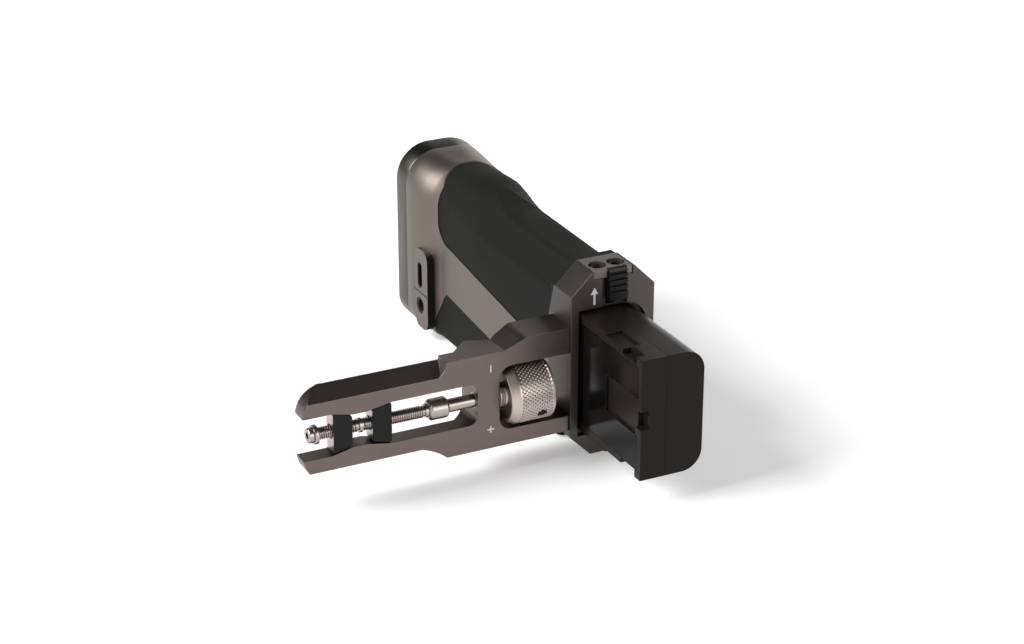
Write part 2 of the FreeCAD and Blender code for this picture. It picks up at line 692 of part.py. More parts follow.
def build_handle():
    """Metal housing with the port pod, and the two rubber grips let into it."""
    skin = handle_loft(0.0)
    core = core_loft()
    sunk = handle_loft(s.rubber_sink.value)
    upper_block, lower_block = grip_regions()
    gap = s.fit_gap.value
    hole = Part.makeBox(
        bay_width.value + 2 * gap, cap_seam.value - neck.value, bay_top.value - s.bay_bottom.value + 2 * gap,
        Vec(bay_left.value - gap, neck.value, s.bay_bottom.value - gap),
    )
    face = -(s.side_far.value + s.flare.value)
    pod = rounded_plate(s.pod_near.value, s.pod_near.value + s.pod_width.value, s.pod_bottom.value,
                        s.pod_bottom.value + s.pod_height.value, 3.5, face, -face - 12.5)
    crease = Part.makeBox(0.6, s.pod_width.value + 2, 0.4,
                          Vec(face - 0.3, s.pod_near.value - 1, (s.usb_z.value + s.jack_z.value) / 2 - 0.9))
    reach = bay_left.value - face + 1
    slot = stadium(port_y.value, s.usb_z.value, s.usb_width.value + 2 * gap,
                   s.usb_height.value + 2 * gap, face - 0.5, reach)
    jack_bore = Part.makeCylinder(s.jack_radius.value + 0.65 + gap, reach,
                                  Vec(face - 0.5, port_y.value, s.jack_z.value), AXIS_X)
    shell = skin.cut([upper_block.cut(core), lower_block.cut(core)])
    wall = bay_left.value
    bosses = [eight_sided_rod(y, z, 2.6, "YZ", wall - gap, wall + 1.5) for y, z in board_screw_places]
    shell = shell.fuse(pod).cut([hole, slot, jack_bore, crease]).fuse(bosses)
    taps = [eight_sided_rod(y, z, s.screw_shank, "YZ", wall - 1.5, wall + 1.5) for y, z in board_screw_places]
    seam = cap_seam.value
    taps += [eight_sided_rod(x, z, s.screw_shank, "XZ", seam - s.cap_screw_bite.value, seam)
             for x, z in cap_screw_places]
    feature_from("grip_housing", shell.cut(taps).removeSplitter())
    feature_from("upper_grip_pad", sunk.common(upper_block).cut(core))
    feature_from("lower_grip_pad", sunk.common(lower_block).cut(core))


def build_cap():
    """Far cap: same outline as the housing, bevelled at the end, with a plug that centres it."""
    start = cap_seam.value
    end = s.grip_length.value
    bevel = s.cap_bevel.value
    shape = Part.makeLoft([station(start, 0.0), station(end - bevel, 0.0)], True, True)
    shape = shape.fuse(Part.makeLoft([station(end - bevel, 0.0), station(end, bevel)], True, True))
    plug = Part.makeBox(bay_width.value, 2.0, bay_top.value - s.bay_bottom.value,
                        Vec(bay_left.value, start - 2.0, s.bay_bottom.value))
    shape = shape.fuse(plug.cut(Part.makeBox(bay_width.value - 4, 2.0, bay_top.value - s.bay_bottom.value - 4,
                                             Vec(bay_left.value + 2, start - 2.0, s.bay_bottom.value + 2))))
    seat = (s.cap_screw_sink + s.screw_head_depth).value
    for x, z in cap_screw_places:
        shape = shape.cut([eight_sided_rod(x, z, s.screw_shank, "XZ", start, end),
                           eight_sided_rod(x, z, s.cap_screw_head + s.fit_gap, "XZ", end - seat, end)])
    feature_from("far_cap", shape.removeSplitter())


def build_arm():
    """Clamp arm: root beside the collar, window for the wheel, forked dovetail tongue."""
    body = new_body("arm_bracket")
    low = s.arm_axis - s.arm_half
    high = s.arm_axis + s.arm_half
    step = side - s.arm_step
    tip = side - s.arm_reach
    pad(body, "arm_block", "XZ", s.arm_front, arm_back, [[
        (step, low), (side, low), (side, high + s.arm_raise),
        (side - s.shoulder, high + s.arm_raise), (side - s.shoulder - s.shoulder_ramp, high), (step, high),
    ]])
    thin = side - s.arm_thin
    pocket(body, "back_bevel", "XY", low - 1, high + s.arm_raise + 1, [[
        (thin, arm_back), (thin - s.arm_thickness + s.tongue_thickness, tongue_back_y),
        (step - 1, tongue_back_y), (step - 1, arm_back),
    ]])
    pad(body, "tongue", "YZ", tip, step, [[
        (s.arm_front, s.arm_axis - s.tongue_front), (tongue_back_y, s.arm_axis - s.tongue_back),
        (tongue_back_y, s.arm_axis + s.tongue_back), (s.arm_front, s.arm_axis + s.tongue_front),
    ]])
    pad(body, "cutter_runouts", "XZ", s.arm_front, tongue_back_y, [[
        (step - s.runout_low, s.arm_axis - s.runout_foot, -s.runout_low_round), (step, low),
        (step + 2, low), (step + 2, high), (step, high, -s.runout_high_round),
        (step - s.runout_high, s.arm_axis + s.runout_foot),
        (step - s.runout_low, s.arm_axis + s.runout_foot),
    ]])
    r = s.tip_round
    top = s.arm_axis + s.tongue_back
    bottom = s.arm_axis - s.tongue_back
    pocket(body, "upper_tip_round", "XZ", s.arm_front, tongue_back_y, [[
        (tip - 1, top - r), (tip, top - r, -r), (tip + r, top), (tip + r, top + 1), (tip - 1, top + 1),
    ]])
    pocket(body, "lower_tip_round", "XZ", s.arm_front, tongue_back_y, [[
        (tip - 1, bottom + r), (tip, bottom + r, r), (tip + r, bottom), (tip + r, bottom - 1),
        (tip - 1, bottom - 1),
    ]])
    end = side - s.slot_start
    r = s.slot_round
    pocket(body, "fork_slot", "XZ", s.arm_front, arm_back, [[
        (tip - 1, s.arm_axis - s.slot_half), (end - r, s.arm_axis - s.slot_half, r),
        (end, s.arm_axis - s.slot_half + r), (end, s.arm_axis + s.slot_half - r, r),
        (end - r, s.arm_axis + s.slot_half), (tip - 1, s.arm_axis + s.slot_half),
    ]])
    far = side - s.window_reach
    r = s.window_round
    pocket(body, "wheel_window", "XZ", s.arm_front, arm_back, [[
        (far, s.arm_axis - s.window_half + r, r), (far + r, s.arm_axis - s.window_half),
        (side + 1, s.arm_axis - s.window_half), (side + 1, s.arm_axis + s.window_half),
        (far + r, s.arm_axis + s.window_half, r), (far, s.arm_axis + s.window_half - r),
    ]])
    for name, way in (("lower_wedge", -1), ("upper_wedge", 1)):
        face = s.arm_axis + s.slot_half * way
        crest = face - s.cam_rise * way
        root = face + to_size(way)
        pad(body, name, "XZ", s.arm_front, tongue_back_y, [[
            (side - s.cam_to, root), (side - s.cam_to, face), (side - s.cam_top_to, crest),
            (side - s.cam_top_from, crest), (side - s.cam_from, face), (side - s.cam_from, root),
        ]])
    pocket(body, "bush_hole", "YZ", end - 1, far + 1, circles=[(screw_y, screw_z, s.bush_radius)])
    pocket(body, "root_taps", "YZ", side - s.arm_screw_reach, side,
           [eight_sided(arm_screw_y, z, s.screw_shank) for z in arm_screw_heights])


def on_screw_axis(body):
    """Moves a turned piece from the X axis to the clamp screw's axis."""
    bind(body, "Placement.Base.y", screw_y)
    bind(body, "Placement.Base.z", screw_z)


def build_clamp():
    """Thumbwheel, shaft and opposed-thread spindle that drive the two wedge blocks."""
    wheel_right = side - s.wheel_gap
    wheel_left = wheel_right - s.wheel_length
    bridge = side - s.window_reach
    sleeve_right = side - s.sleeve_from
    sleeve_left = sleeve_right - s.sleeve_length
    sleeve_middle = sleeve_right - s.sleeve_length * 0.5
    body = new_body("thumbwheel")
    revolve(body, "wheel_turning", [
        (wheel_left, s.shaft_radius), (wheel_right, s.shaft_radius), (wheel_right, s.wheel_radius),
        (wheel_left + s.wheel_rim, s.wheel_radius),
        (wheel_left, s.wheel_radius - s.rim_drop),
    ])
    pocket(body, "set_screw_hole", "XZ", -s.wheel_radius, -s.shaft_radius,
           circles=[(wheel_right - s.set_screw_from, 0, s.screw_shank)])
    on_screw_axis(body)
    body.Placement.Rotation = FreeCAD.Rotation(AXIS_X, SET_SCREW_TURN)
    body = new_body("wheel_set_screw")
    pad(body, "set_screw", "XZ", 1.2 - s.wheel_radius, -s.shaft_radius,
        circles=[(wheel_right - s.set_screw_from, 0, s.screw_shank)])
    on_screw_axis(body)
    body.Placement.Rotation = FreeCAD.Rotation(AXIS_X, SET_SCREW_TURN)
    body = new_body("thrust_washer")
    revolve(body, "washer_turning", rectangle(bridge + s.bush_flange + 0.05, wheel_left, s.shaft_radius, 4))
    on_screw_axis(body)
    body = new_body("shaft_bush")
    revolve(body, "bush_turning", [
        (side - s.slot_start, s.shaft_radius + s.run_gap),
        (bridge + s.bush_flange, s.shaft_radius + s.run_gap),
        (bridge + s.bush_flange, s.bush_radius + 1.5), (bridge, s.bush_radius + 1.5),
        (bridge, s.bush_radius), (side - s.slot_start, s.bush_radius),
    ])
    on_screw_axis(body)
    body = new_body("wheel_shaft")
    revolve(body, "shaft_turning", rectangle(sleeve_middle, wheel_right - 0.6, 0, s.shaft_radius))
    on_screw_axis(body)
    body = new_body("shaft_sleeve")
    revolve(body, "sleeve_turning", [
        (sleeve_left, s.shaft_radius), (sleeve_right, s.shaft_radius), (sleeve_right, s.sleeve_radius - 0.7),
        (sleeve_right - 0.7, s.sleeve_radius), (sleeve_left + 0.7, s.sleeve_radius),
        (sleeve_left, s.sleeve_radius - 0.7),
    ])
    on_screw_axis(body)
    end = side - s.screw_end
    body = new_body("clamp_spindle")
    revolve(body, "spindle_turning", [
        (end, 0), (sleeve_middle, 0), (sleeve_middle, s.shaft_radius), (sleeve_left - 1, s.shaft_radius),
        (sleeve_left - 1, s.screw_radius), (end + 1.5, s.screw_radius), (end + 1.5, s.screw_radius + 0.4),
        (end, s.screw_radius + 0.4),
    ])
    on_screw_axis(body)
    body = new_body("spindle_ring")
    revolve(body, "ring_turning", rectangle(end + 1.5, end + 2.8, s.screw_radius, s.screw_radius + 1))
    on_screw_axis(body)


def build_wedge_blocks():
    """Threaded blocks that sit on the ramps of the two prongs."""
    bore = s.screw_radius + s.run_gap
    front = s.arm_front + s.block_inset
    back = tongue_back_y - s.block_inset
    places = [
        ("outer_wedge_block", side - s.cam_to + 0.4, s.block_half - 0.1, s.block_half - 1.8),
        ("inner_wedge_block", side - s.cam_from - s.block_length + 0.2, s.block_half - 1.4, s.block_half - 0.2),
    ]
    for label, left, left_half, right_half in places:
        right = left + s.block_length
        bulge = s.block_length * 3.6
        body = new_body(label)
        pad(body, "block", "XZ", front, back, [[
            (left, screw_z - left_half, bulge), (right, screw_z - right_half),
            (right, screw_z + right_half, bulge), (left, screw_z + left_half),
        ]])
        pocket(body, "nut_bore", "YZ", left, right, circles=[(screw_y, screw_z, bore)])


def screw_set(label, plane, head, depth, reach, places, way, radius, hidden=True):
    """Identical screws in one node. Heads start at `head`, shanks point `way`."""
    shank_radius = s.screw_shank - s.fit_gap
    for i, (x, y) in enumerate(places, 1):
        body = doc.addObject("PartDesign::Body", f"{label}_{i}")
        inner = head + depth * way
        tip = head + reach * way
        head_ends = (head, inner) if way > 0 else (inner, head)
        shank_ends = (inner, tip) if way > 0 else (tip, inner)
        for name, ends, size in (("head", head_ends, radius), ("shank", shank_ends, shank_radius)):
            if hidden:
                pad(body, name, plane, ends[0], ends[1], [eight_sided(x, y, size)])
            else:
                pad(body, name, plane, ends[0], ends[1], circles=[(x, y, size)])
    group(label, [doc.getObject(f"{label}_{i}") for i in range(1, len(places) + 1)])


def build_screws():
    screw_set("cover_screws", "XY", collar_height - s.cover_screw_sink, s.cover_head_depth,
              s.cover_screw_reach, cover_screws, -1, s.screw_head, False)
    screw_set("arm_screws", "YZ", bay_left, s.screw_head_depth, s.arm_screw_reach + 2.2,
              [(arm_screw_y, z) for z in arm_screw_heights], -1, s.screw_head)
    screw_set("cap_screws", "XZ", s.grip_length - s.cap_screw_sink, s.screw_head_depth,
              s.cap_depth + s.cap_screw_bite - s.cap_screw_sink - s.fit_gap,
              cap_screw_places, -1, s.cap_screw_head)


def build_latch():
    """Cover plate, and the slider whose hook drops into the battery's notch."""
    body = new_body("latch_cover")
    half = s.cover_width * 0.5 - s.fit_gap
    pad(body, "cover_plate", "XY", cover_bottom, collar_height,
        [rectangle(-half, half, 0.3, s.collar_depth - s.fit_gap)])
    pocket(body, "slider_notch", "XY", cover_bottom, collar_height,
           [rectangle(-s.latch_left - s.latch_play, s.latch_right + s.latch_play, 0,
                      s.latch_deep + s.latch_play)])
    pocket(body, "cover_holes", "XY", cover_bottom, collar_height,
           circles=[(x, y, s.screw_shank) for x, y in cover_screws])
    pocket(body, "cover_seats", "XY", collar_height - s.cover_screw_sink - s.cover_head_depth, collar_height,
           circles=[(x, y, s.screw_head + s.fit_gap) for x, y in cover_screws])
    body = new_body("latch_slider")
    top = collar_height - 0.5
    pad(body, "thumb_piece", "XZ", -s.latch_proud, s.latch_deep,
        [rectangle(-s.latch_left, s.latch_right, slider_bottom, top)])
    pad(body, "stem", "XZ", s.latch_deep, hook_back,
        [rectangle(-s.stem_half, s.stem_half, arm_bar_bottom, cover_bottom - s.latch_play)])
    pad(body, "hook_arm", "XZ", s.hook_from, hook_back,
        [rectangle(hook_left, s.stem_half, arm_bar_bottom, arm_bar_bottom + s.hook_rise)])
    pad(body, "hook_tooth", "XZ", s.hook_from, hook_back,
        [rectangle(hook_left, hook_left + s.hook_width, tooth_bottom, arm_bar_bottom + s.hook_rise)])
    grooves = [rectangle(-s.latch_proud, 0.7 - s.latch_proud, top - 1.2 - s.latch_rib * i,
                         top - 0.3 - s.latch_rib * i) for i in range(4)]
    pocket(body, "thumb_grooves", "YZ", -s.latch_left, s.latch_right, grooves)


def label_outline(near, far, inset):
    """Label in Y and Z, cut out round the battery's middle channel."""
    y0 = near + s.label_from + inset
    y1 = far - s.label_to - inset
    z0 = battery_bottom + s.label_edge + inset
    z1 = battery_top - s.label_edge - inset
    inner = near + s.channel_length + s.fit_gap + inset
    low = battery_middle - s.channel_low - s.fit_gap - inset
    high = battery_middle + s.channel_high + s.fit_gap + inset
    return [(y0, z0), (y1, z0), (y1, z1), (y0, z1), (y0, high), (inner, high), (inner, low), (y0, low)]


def edge_strips(x0, x1):
    """Shallow recess along both long edges of the battery."""
    return [rectangle(x0, x1, battery_top - s.edge_depth, battery_top),
            rectangle(x0, x1, battery_bottom, battery_bottom + s.edge_depth)]


def build_battery():
    """Two-cell pack of common size, drawn half way out of the bay."""
    near = -s.battery_out
    far = near + s.battery_length
    seam = battery_left + s.battery_seam
    cell_x = battery_left + s.battery_width * 0.5 + s.cell_shift
    cells = [(cell_x, battery_middle - s.cell_pitch), (cell_x, battery_middle + s.cell_pitch)]
    bores = [(x, z, s.cell_radius + s.cell_gap) for x, z in cells]
    body = new_body("battery_case")
    pad(body, "case_block", "XZ", near, far,
        [bay_outline(seam, battery_right, battery_bottom, battery_top, s.battery_round)])
    pocket(body, "case_bores", "XZ", near + s.shell_end, far - s.shell_end, circles=bores)
    lid_right = battery_left + s.lid_thickness
    edge = battery_left + s.edge_width
    body = new_body("battery_base")
    pad(body, "base_block", "XZ", near, far,
        [rectangle(lid_right, seam, battery_bottom, battery_top)])
    pocket(body, "base_bores", "XZ", near + s.shell_end, far - s.shell_end, circles=bores)
    pocket(body, "base_edges", "XZ", near + s.edge_from, near + s.edge_to, edge_strips(lid_right, edge))
    pocket(body, "terminal_slots", "XZ", far - blade_reach - 0.3, far,
           [rectangle(blade_x - 0.6, blade_x + 1.2, z - blade_half - 0.3, z + blade_half + 0.3)
            for z in blade_heights])
    body = new_body("battery_lid")
    pad(body, "lid_block", "XZ", near, far,
        [rectangle(battery_left, lid_right, battery_bottom, battery_top)])
    pocket(body, "lid_bores", "XZ", near + s.shell_end, far - s.shell_end, circles=bores)
    for name, start in (("front_notches", near + s.notch_near), ("rear_notches", near + s.notch_near + s.battery_out)):
        pocket(body, name, "XZ", start, start + s.notch_length, [
            rectangle(battery_left, lid_right, battery_top - s.notch_height, battery_top),
            rectangle(battery_left, lid_right, battery_bottom, battery_bottom + s.notch_height),
        ])
    pocket(body, "end_notch", "XZ", near, near + s.notch_near, [
        rectangle(battery_left, lid_right, battery_middle - 2.9, battery_middle + 2.9)])
    pocket(body, "middle_channel", "YZ", battery_left, battery_left + s.channel_depth, [
        rectangle(near + s.notch_near, near + s.channel_length,
                  battery_middle - s.channel_low, battery_middle + s.channel_high)])
    pocket(body, "lid_edges", "XZ", near + s.edge_from, near + s.edge_to, edge_strips(battery_left, lid_right))
    pocket(body, "label_seat", "YZ", battery_left, battery_left + 0.3, [label_outline(near, far, 0)])
    body = new_body("battery_label")
    pad(body, "label_sheet", "YZ", battery_left + 0.05, battery_left + 0.3,
        [label_outline(near, far, s.fit_gap)])
    cell_start = near + s.shell_end + s.cell_spare
    cell_end = far - s.shell_end - s.cell_spare
    cylinders = []
    for i, (x, z) in enumerate(cells, 1):
        cell = new_cylinder(f"cell_{i}", s.cell_radius, cell_end - cell_start)
        bind(cell, "Placement.Base.x", x)
        bind(cell, "Placement.Base.y", cell_end)
        bind(cell, "Placement.Base.z", z)
        cylinders.append(cell)
    group("battery_cells", cylinders)
    terminals = []
    for i, z in enumerate(blade_heights, 1):
        terminals.append(new_box(f"terminal_{i}", (blade_x + 0.7, far - blade_reach, z - blade_half),
                                 (0.4, blade_reach - 0.2, 2 * blade_half)))
    group("battery_terminals", terminals)


def new_cylinder(name, radius, height):
    """Cylinder that points along -Y from its place."""
    item = doc.addObject("Part::Cylinder", name)
    bind(item, "Radius", radius)
    bind(item, "Height", height)
    item.Placement.Rotation = FreeCAD.Rotation(AXIS_X, 90)
    return item


def new_box(name, place, size):
    item = doc.addObject("Part::Box", name)
    for path, value in zip(("Length", "Width", "Height"), size):
        bind(item, path, value)
    for path, value in zip("xyz", place):
        bind(item, f"Placement.Base.{path}", value)
    return item


def build_electronics():
    """Board behind the pod, its two sockets and its screws."""
    face = -s.side_far - s.flare
    board_x = bay_left + 1.5
    body = new_body("circuit_board")
    pad(body, "board", "YZ", board_x, board_x + s.board_wall,
        [rectangle(board_near, board_far, battery_bottom, battery_top - 2)]
        + [eight_sided(y, z, s.screw_shank) for y, z in board_screw_places])
    start = (face + 0.2).value
    depth = board_x.value - start
    centre = (port_y.value, s.usb_z.value)
    socket = stadium(*centre, s.usb_width.value, s.usb_height.value, start, depth)
    socket = socket.cut(stadium(*centre, s.usb_width.value - 0.7, s.usb_height.value - 0.7, start, depth - 1))
    tongue = Part.makeBox(depth - 1.1, 0.7, 6.6, Vec(start + 0.6, centre[0] - 0.35, centre[1] - 3.3))
    feature_from("usb_c_socket", socket.fuse(tongue).removeSplitter())
    body = new_body("remote_jack")
    pad(body, "jack_barrel", "YZ", face + 0.2, board_x, circles=[(port_y, s.jack_z, s.jack_radius + 0.65)])
    pocket(body, "jack_mouth", "YZ", face + 0.2, board_x - 0.6, circles=[(port_y, s.jack_z, s.jack_radius)])
    screw_set("board_screws", "YZ", board_x + s.board_wall + s.screw_head_depth, s.screw_head_depth,
              s.screw_head_depth + s.board_wall + 2.4, board_screw_places, -1, s.screw_head)


build_collar()
build_ring()
build_liner()
build_contacts()
build_handle()
build_cap()
build_arm()
build_clamp()
build_wedge_blocks()
build_latch()
build_battery()
build_electronics()
build_screws()
doc.recompute()

os.makedirs("parts", exist_ok=True)
for item in doc.Objects:
    if {"Invalid", "Error"} & set(item.State):
        raise RuntimeError(f"{item.Label} did not compute")
for item in pieces:
    shape = item.Shape
    if shape.isNull() or not shape.isValid() or not shape.Solids:
        raise RuntimeError(f"{item.Label} has no sound solid")
    shape.exportStep(f"parts/{item.Label}.step")
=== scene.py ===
"""Looks of a camera battery grip with a forked clamp arm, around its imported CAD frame."""

import json
import math

import bmesh
import bpy
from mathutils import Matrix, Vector


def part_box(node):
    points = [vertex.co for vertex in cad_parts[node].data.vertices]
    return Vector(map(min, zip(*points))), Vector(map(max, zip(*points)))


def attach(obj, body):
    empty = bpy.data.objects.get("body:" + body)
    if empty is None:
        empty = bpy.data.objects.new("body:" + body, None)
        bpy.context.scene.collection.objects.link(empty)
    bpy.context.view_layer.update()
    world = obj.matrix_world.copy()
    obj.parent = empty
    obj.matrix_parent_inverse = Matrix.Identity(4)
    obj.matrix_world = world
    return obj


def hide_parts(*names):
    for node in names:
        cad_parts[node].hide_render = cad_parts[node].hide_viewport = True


bl_info = {
    "name": "Camera battery grip",
    "version": (1, 1, 0),
    "blender": (4, 5, 0),
    "location": "3D View > Sidebar > Battery Grip",
    "description": "Builds the visible pieces of a camera battery grip around its CAD frame",
    "category": "Object",
}

MM = 0.001
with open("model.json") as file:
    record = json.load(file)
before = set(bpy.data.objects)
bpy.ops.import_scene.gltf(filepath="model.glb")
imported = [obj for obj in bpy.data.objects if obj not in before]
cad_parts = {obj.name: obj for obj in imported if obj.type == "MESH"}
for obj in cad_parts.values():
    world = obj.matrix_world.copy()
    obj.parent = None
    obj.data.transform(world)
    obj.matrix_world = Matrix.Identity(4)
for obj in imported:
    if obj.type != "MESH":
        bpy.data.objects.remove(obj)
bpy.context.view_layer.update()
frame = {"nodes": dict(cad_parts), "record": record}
NODES = frame["nodes"]
BODY_OF = {n: b for b, ns in frame["record"]["behaviour"]["bodies"].items() for n in ns}
SLOT_OF = {part["node"]: part["material_slot"] for part in frame["record"]["subparts"]}
MATERIALS = {}

# Vertices closer than this become one
MERGE = 0.002 * MM
# Angles in degrees. A bevel takes the edges above SHARP, or above TURNED_SHARP on pieces from
# the lathe, and a round takes those above BENT
SHARP, TURNED_SHARP, BENT = 30, 40, 25
# Faces that meet below SMOOTH are shaded as one. The knurl and the threads take a smaller angle,
# and the rubber's wide curves a larger one
SMOOTH, THREAD_SMOOTH, RUBBER_SMOOTH = 32, 30, 58

# Patches of slightly different tone and gloss: their number in a metre, the noise values that
# the two tones stand at, and the change of roughness
PATCHES, PATCH_RANGE, UNEVEN = 45, (0.3, 0.7), 0.06

# Sizes below are in millimetres. Two places get a round, given as its width and its number of
# steps: the seam of housing and cap, and the shoulder edges on top of the arm. NEAR is how far
# off an edge may lie to be found
SEAM_Y, SEAM_NEAR, SEAM_ROUND = 113, 0.05, (0.3, 2)
SHOULDERS_XZ, SHOULDER_NEAR, SHOULDER_ROUND = ((-34.0, 40), (-29.4, 43)), 0.3, (1.3, 6)
# Widths of the edge breaks that the panel doesn't list
EDGE = {"screw": 0.06, "set_screw": 0.1, "turned": 0.12, "plate": 0.15, "jack": 0.15,
        "latch": 0.16, "block": 0.3}

# Radii of the screw heads in the CAD frame, where all but the cover's are eight-sided
CAD_HEAD = {"cover_screws": 2.6, "arm_screws": 2.6, "board_screws": 2.6, "cap_screws": 2.2}
# The screws built here: head radius, head depth, shank radius, whole length, socket radius
SCREWS = {
    "cover_screws": (2.6, 1.0, 1.4, 4.7, 1.5),
    "arm_screws": (2.35, 1.6, 1.25, 11.2, 1.3),
    "board_screws": (2.35, 1.6, 1.25, 5.6, 1.3),
    "cap_screws": (2.1, 1.6, 1.25, 13.5, 1.2),
}

# Thickness of the printed marks, half the width of their strokes and half their length
INK, HALF_STROKE, HALF_SIGN = 0.03, 0.22, 1.1


def linear(hex_colour):
    """An sRGB hex colour as linear red, green, blue and alpha."""
    parts = [int(hex_colour[i:i + 2], 16) / 255 for i in (1, 3, 5)]
    return [c / 12.92 if c <= 0.04045 else ((c + 0.055) / 1.055) ** 2.4 for c in parts] + [1.0]


def colour(name, hex_colour, description):
    return bpy.props.FloatVectorProperty(
        name=name, description=description, subtype="COLOR", size=3, min=0, max=1,
        default=linear(hex_colour)[:3],
    )


def length(name, millimetres, description):
    return bpy.props.FloatProperty(
        name=name, description=description, default=millimetres * MM, unit="LENGTH", min=0,
        precision=5,
    )


class GripFinish(bpy.types.PropertyGroup):
    """Colours of the grip's finishes."""

    housing: colour("Housing", "#766d67", "Anodised aluminium of the housing")
    # The collar's colour is the housing's aluminium made darker: painted shade
    collar: colour("Collar", "#544d49", "Anodised aluminium of the collar")
    cap: colour("Cap", "#5c5a54", "Anodised aluminium of the far cap")
    arm: colour("Arm", "#706561", "Anodised aluminium of the clamp arm")
    rubber: colour("Rubber", "#20211e", "Moulded rubber of the grips")
    battery: colour("Battery", "#1d1a18", "Moulded shell of the battery")
    steel: colour("Steel", "#aaa19d", "Turned stainless steel of the clamp screw")
    wheel: colour("Thumbwheel", "#bfb3ab", "Turned and knurled steel of the thumbwheel")
    blackened: colour("Blackened steel", "#171514", "Wedge blocks, latch and screws")


class GripSizes(bpy.types.PropertyGroup):
    """Sizes of the edge breaks, the knurl and the thread."""

    metal: length("Metal edges", 0.2, "Bevel on the machined edges")
    plastic: length("Plastic edges", 0.15, "Round on the moulded edges")
    rubber: length("Rubber edges", 0.3, "Round on the edges of the ring behind the collar")
    knurl: length("Knurl depth", 0.38, "Height of the thumbwheel's diamonds")
    pitch: length("Thread pitch", 0.7, "Pitch of the clamp spindle's two threads")


class GripStage(bpy.types.PropertyGroup):
    """The camera's lens, direction and place."""

    lens: bpy.props.FloatProperty(
        name="Lens", description="Focal length in millimetres", default=81.58,
    )
    azimuth: bpy.props.FloatProperty(
        name="Azimuth", description="Camera's direction round the object",
        default=math.radians(-26.344), subtype="ANGLE", unit="ROTATION",
    )
    elevation: bpy.props.FloatProperty(
        name="Elevation", description="Camera's height above the horizon",
        default=math.radians(23.952), subtype="ANGLE", unit="ROTATION",
    )
    place: bpy.props.FloatVectorProperty(
        name="Place", description="Camera's place", size=3, subtype="TRANSLATION", unit="LENGTH",
        default=(-307.9 * MM, -554.0 * MM, 323.9 * MM),
    )


def add(tree, kind, links=(), values=None, **settings):
    """Adds a node. A link is (input, node, output), and values are numbers for its own inputs."""
    node = tree.nodes.new(kind)
    for name, value in settings.items():
        setattr(node, name, value)
    for name, value in (values or {}).items():
        node.inputs[name].default_value = value
    for target, source, output in links:
        tree.links.new(source.outputs[output], node.inputs[target])
    return node


def new_material(name):
    """Empty material and its node tree."""
    material = bpy.data.materials.new(name)
    material.use_nodes = True
    material.node_tree.nodes.clear()
    return material, material.node_tree


def grained(name, tint, metallic, roughness, grain_mm, depth_mm, spread=0.06,
            stretch=(1, 1, 1), specular=0.5):
    """A surface with a fine grain in its height, and slow changes of tone and gloss."""
    material, tree = new_material(name)
    place = add(tree, "ShaderNodeTexCoord")
    mapping = add(tree, "ShaderNodeMapping", [("Vector", place, "Object")], {"Scale": stretch})
    fine = add(tree, "ShaderNodeTexNoise", [("Vector", mapping, "Vector")],
               {"Scale": 1 / (grain_mm * MM), "Detail": 3})
    slow = add(tree, "ShaderNodeTexNoise", [("Vector", place, "Object")],
               {"Scale": PATCHES, "Detail": 4})
    bump = add(tree, "ShaderNodeBump", [("Height", fine, "Fac")],
               {"Strength": 1.0, "Distance": depth_mm * MM})
    ramp = add(tree, "ShaderNodeValToRGB", [("Fac", slow, "Fac")])
    tones = (1 - spread, 1 + spread)
    for element, position, factor in zip(ramp.color_ramp.elements, PATCH_RANGE, tones):
        element.position = position
        element.color = [min(1, c * factor) for c in tint[:3]] + [1]
    gloss = add(tree, "ShaderNodeMapRange", [("Value", slow, "Fac")],
                {"To Min": roughness - UNEVEN, "To Max": roughness + UNEVEN})
    shader = add(tree, "ShaderNodeBsdfPrincipled",
                 [("Base Color", ramp, "Color"), ("Roughness", gloss, "Result"),
                  ("Normal", bump, "Normal")],
                 {"Metallic": metallic, "Specular IOR Level": specular})
    add(tree, "ShaderNodeOutputMaterial", [("Surface", shader, "BSDF")])
    return material


